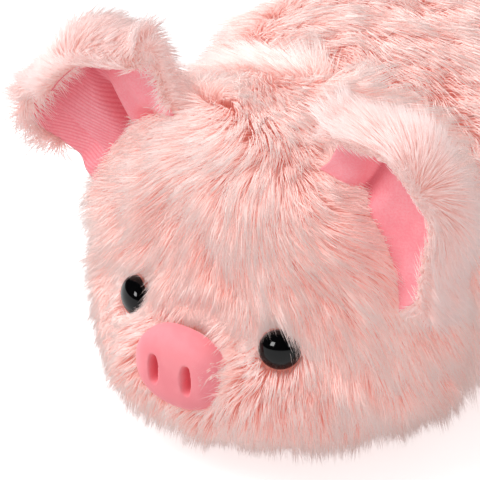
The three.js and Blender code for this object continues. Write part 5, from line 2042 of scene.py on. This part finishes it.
def makeStudio():
    corners = np.array([[-1, -1, 0], [1, -1, 0], [1, 1, 0], [-1, 1, 0]]) * studio["floorHalf"]
    mesh = newMesh("floor", corners, [[0, 1, 2, 3]])
    floor = bpy.data.objects.new("floor", mesh)
    bpy.context.scene.collection.objects.link(floor)
    material, nodes, links, shader = newMaterial("floor")
    shader.inputs["Base Color"].default_value = studio["floor"]
    shader.inputs["Roughness"].default_value = 0.9
    shader.inputs["Specular IOR Level"].default_value = 0
    rays = nodes.new("ShaderNodeLightPath")
    seen = mathNode(nodes, "MAXIMUM", rays.outputs["Is Camera Ray"], rays.outputs["Is Glossy Ray"])
    seen = mathNode(nodes, "MAXIMUM", seen, rays.outputs["Is Transmission Ray"])
    glow = nodes.new("ShaderNodeEmission")
    links.new(mathNode(nodes, "MULTIPLY", seen, studio["floorGlow"]), glow.inputs["Strength"])
    both = nodes.new("ShaderNodeAddShader")
    links.new(shader.outputs[0], both.inputs[0])
    links.new(glow.outputs[0], both.inputs[1])
    links.new(both.outputs[0], nodes["Material Output"].inputs["Surface"])
    mesh.materials.append(material)

    world = bpy.data.worlds.new("studio")
    bpy.context.scene.world = world
    world.use_nodes = True
    nodes, links = world.node_tree.nodes, world.node_tree.links
    sky = nodes["Background"]
    sky.inputs["Color"].default_value = (1, 1, 1, 1)
    rays = nodes.new("ShaderNodeLightPath")
    glossy, through = rays.outputs["Is Glossy Ray"], rays.outputs["Is Transmission Ray"]
    seen = mathNode(nodes, "MAXIMUM", rays.outputs["Is Camera Ray"], through)
    light = mapRange(nodes, glossy, 0, 1, studio["world"], studio["worldInEyes"], "LINEAR")
    links.new(mathNode(nodes, "MAXIMUM", seen, light), sky.inputs["Strength"])

    for box in studio["boxes"]:
        lamp = bpy.data.lights.new(box["name"], "AREA")
        lamp.shape = "SQUARE"
        lamp.size = box["size"]
        lamp.energy = box["power"]
        holder = bpy.data.objects.new(box["name"], lamp)
        way = skyWay(math.radians(box["azimuth"]), math.radians(box["elevation"]))
        standOff(holder, studio["aim"], way, box["distance"])
        holder.visible_camera = False
        holder.visible_glossy = box["inEyes"]
        holder.visible_diffuse = box["onFur"]
    bpy.context.scene.view_settings.view_transform = "Standard"


makeCamera()
makeStudio()
print("stage: camera, floor, lamps")
makeEyes()
makeSnout()
finishWashers()
print("stage: eyes, snout, washers")
makePanels()
makeFillings()
makeLegs()
print("stage: covers and fillings")
earBodies()
makeTail()
print("stage: ears and tail")
makeTrunkPile()
makeFringe()
makeLegPile()
makeEarPile()
print("stage: pile")
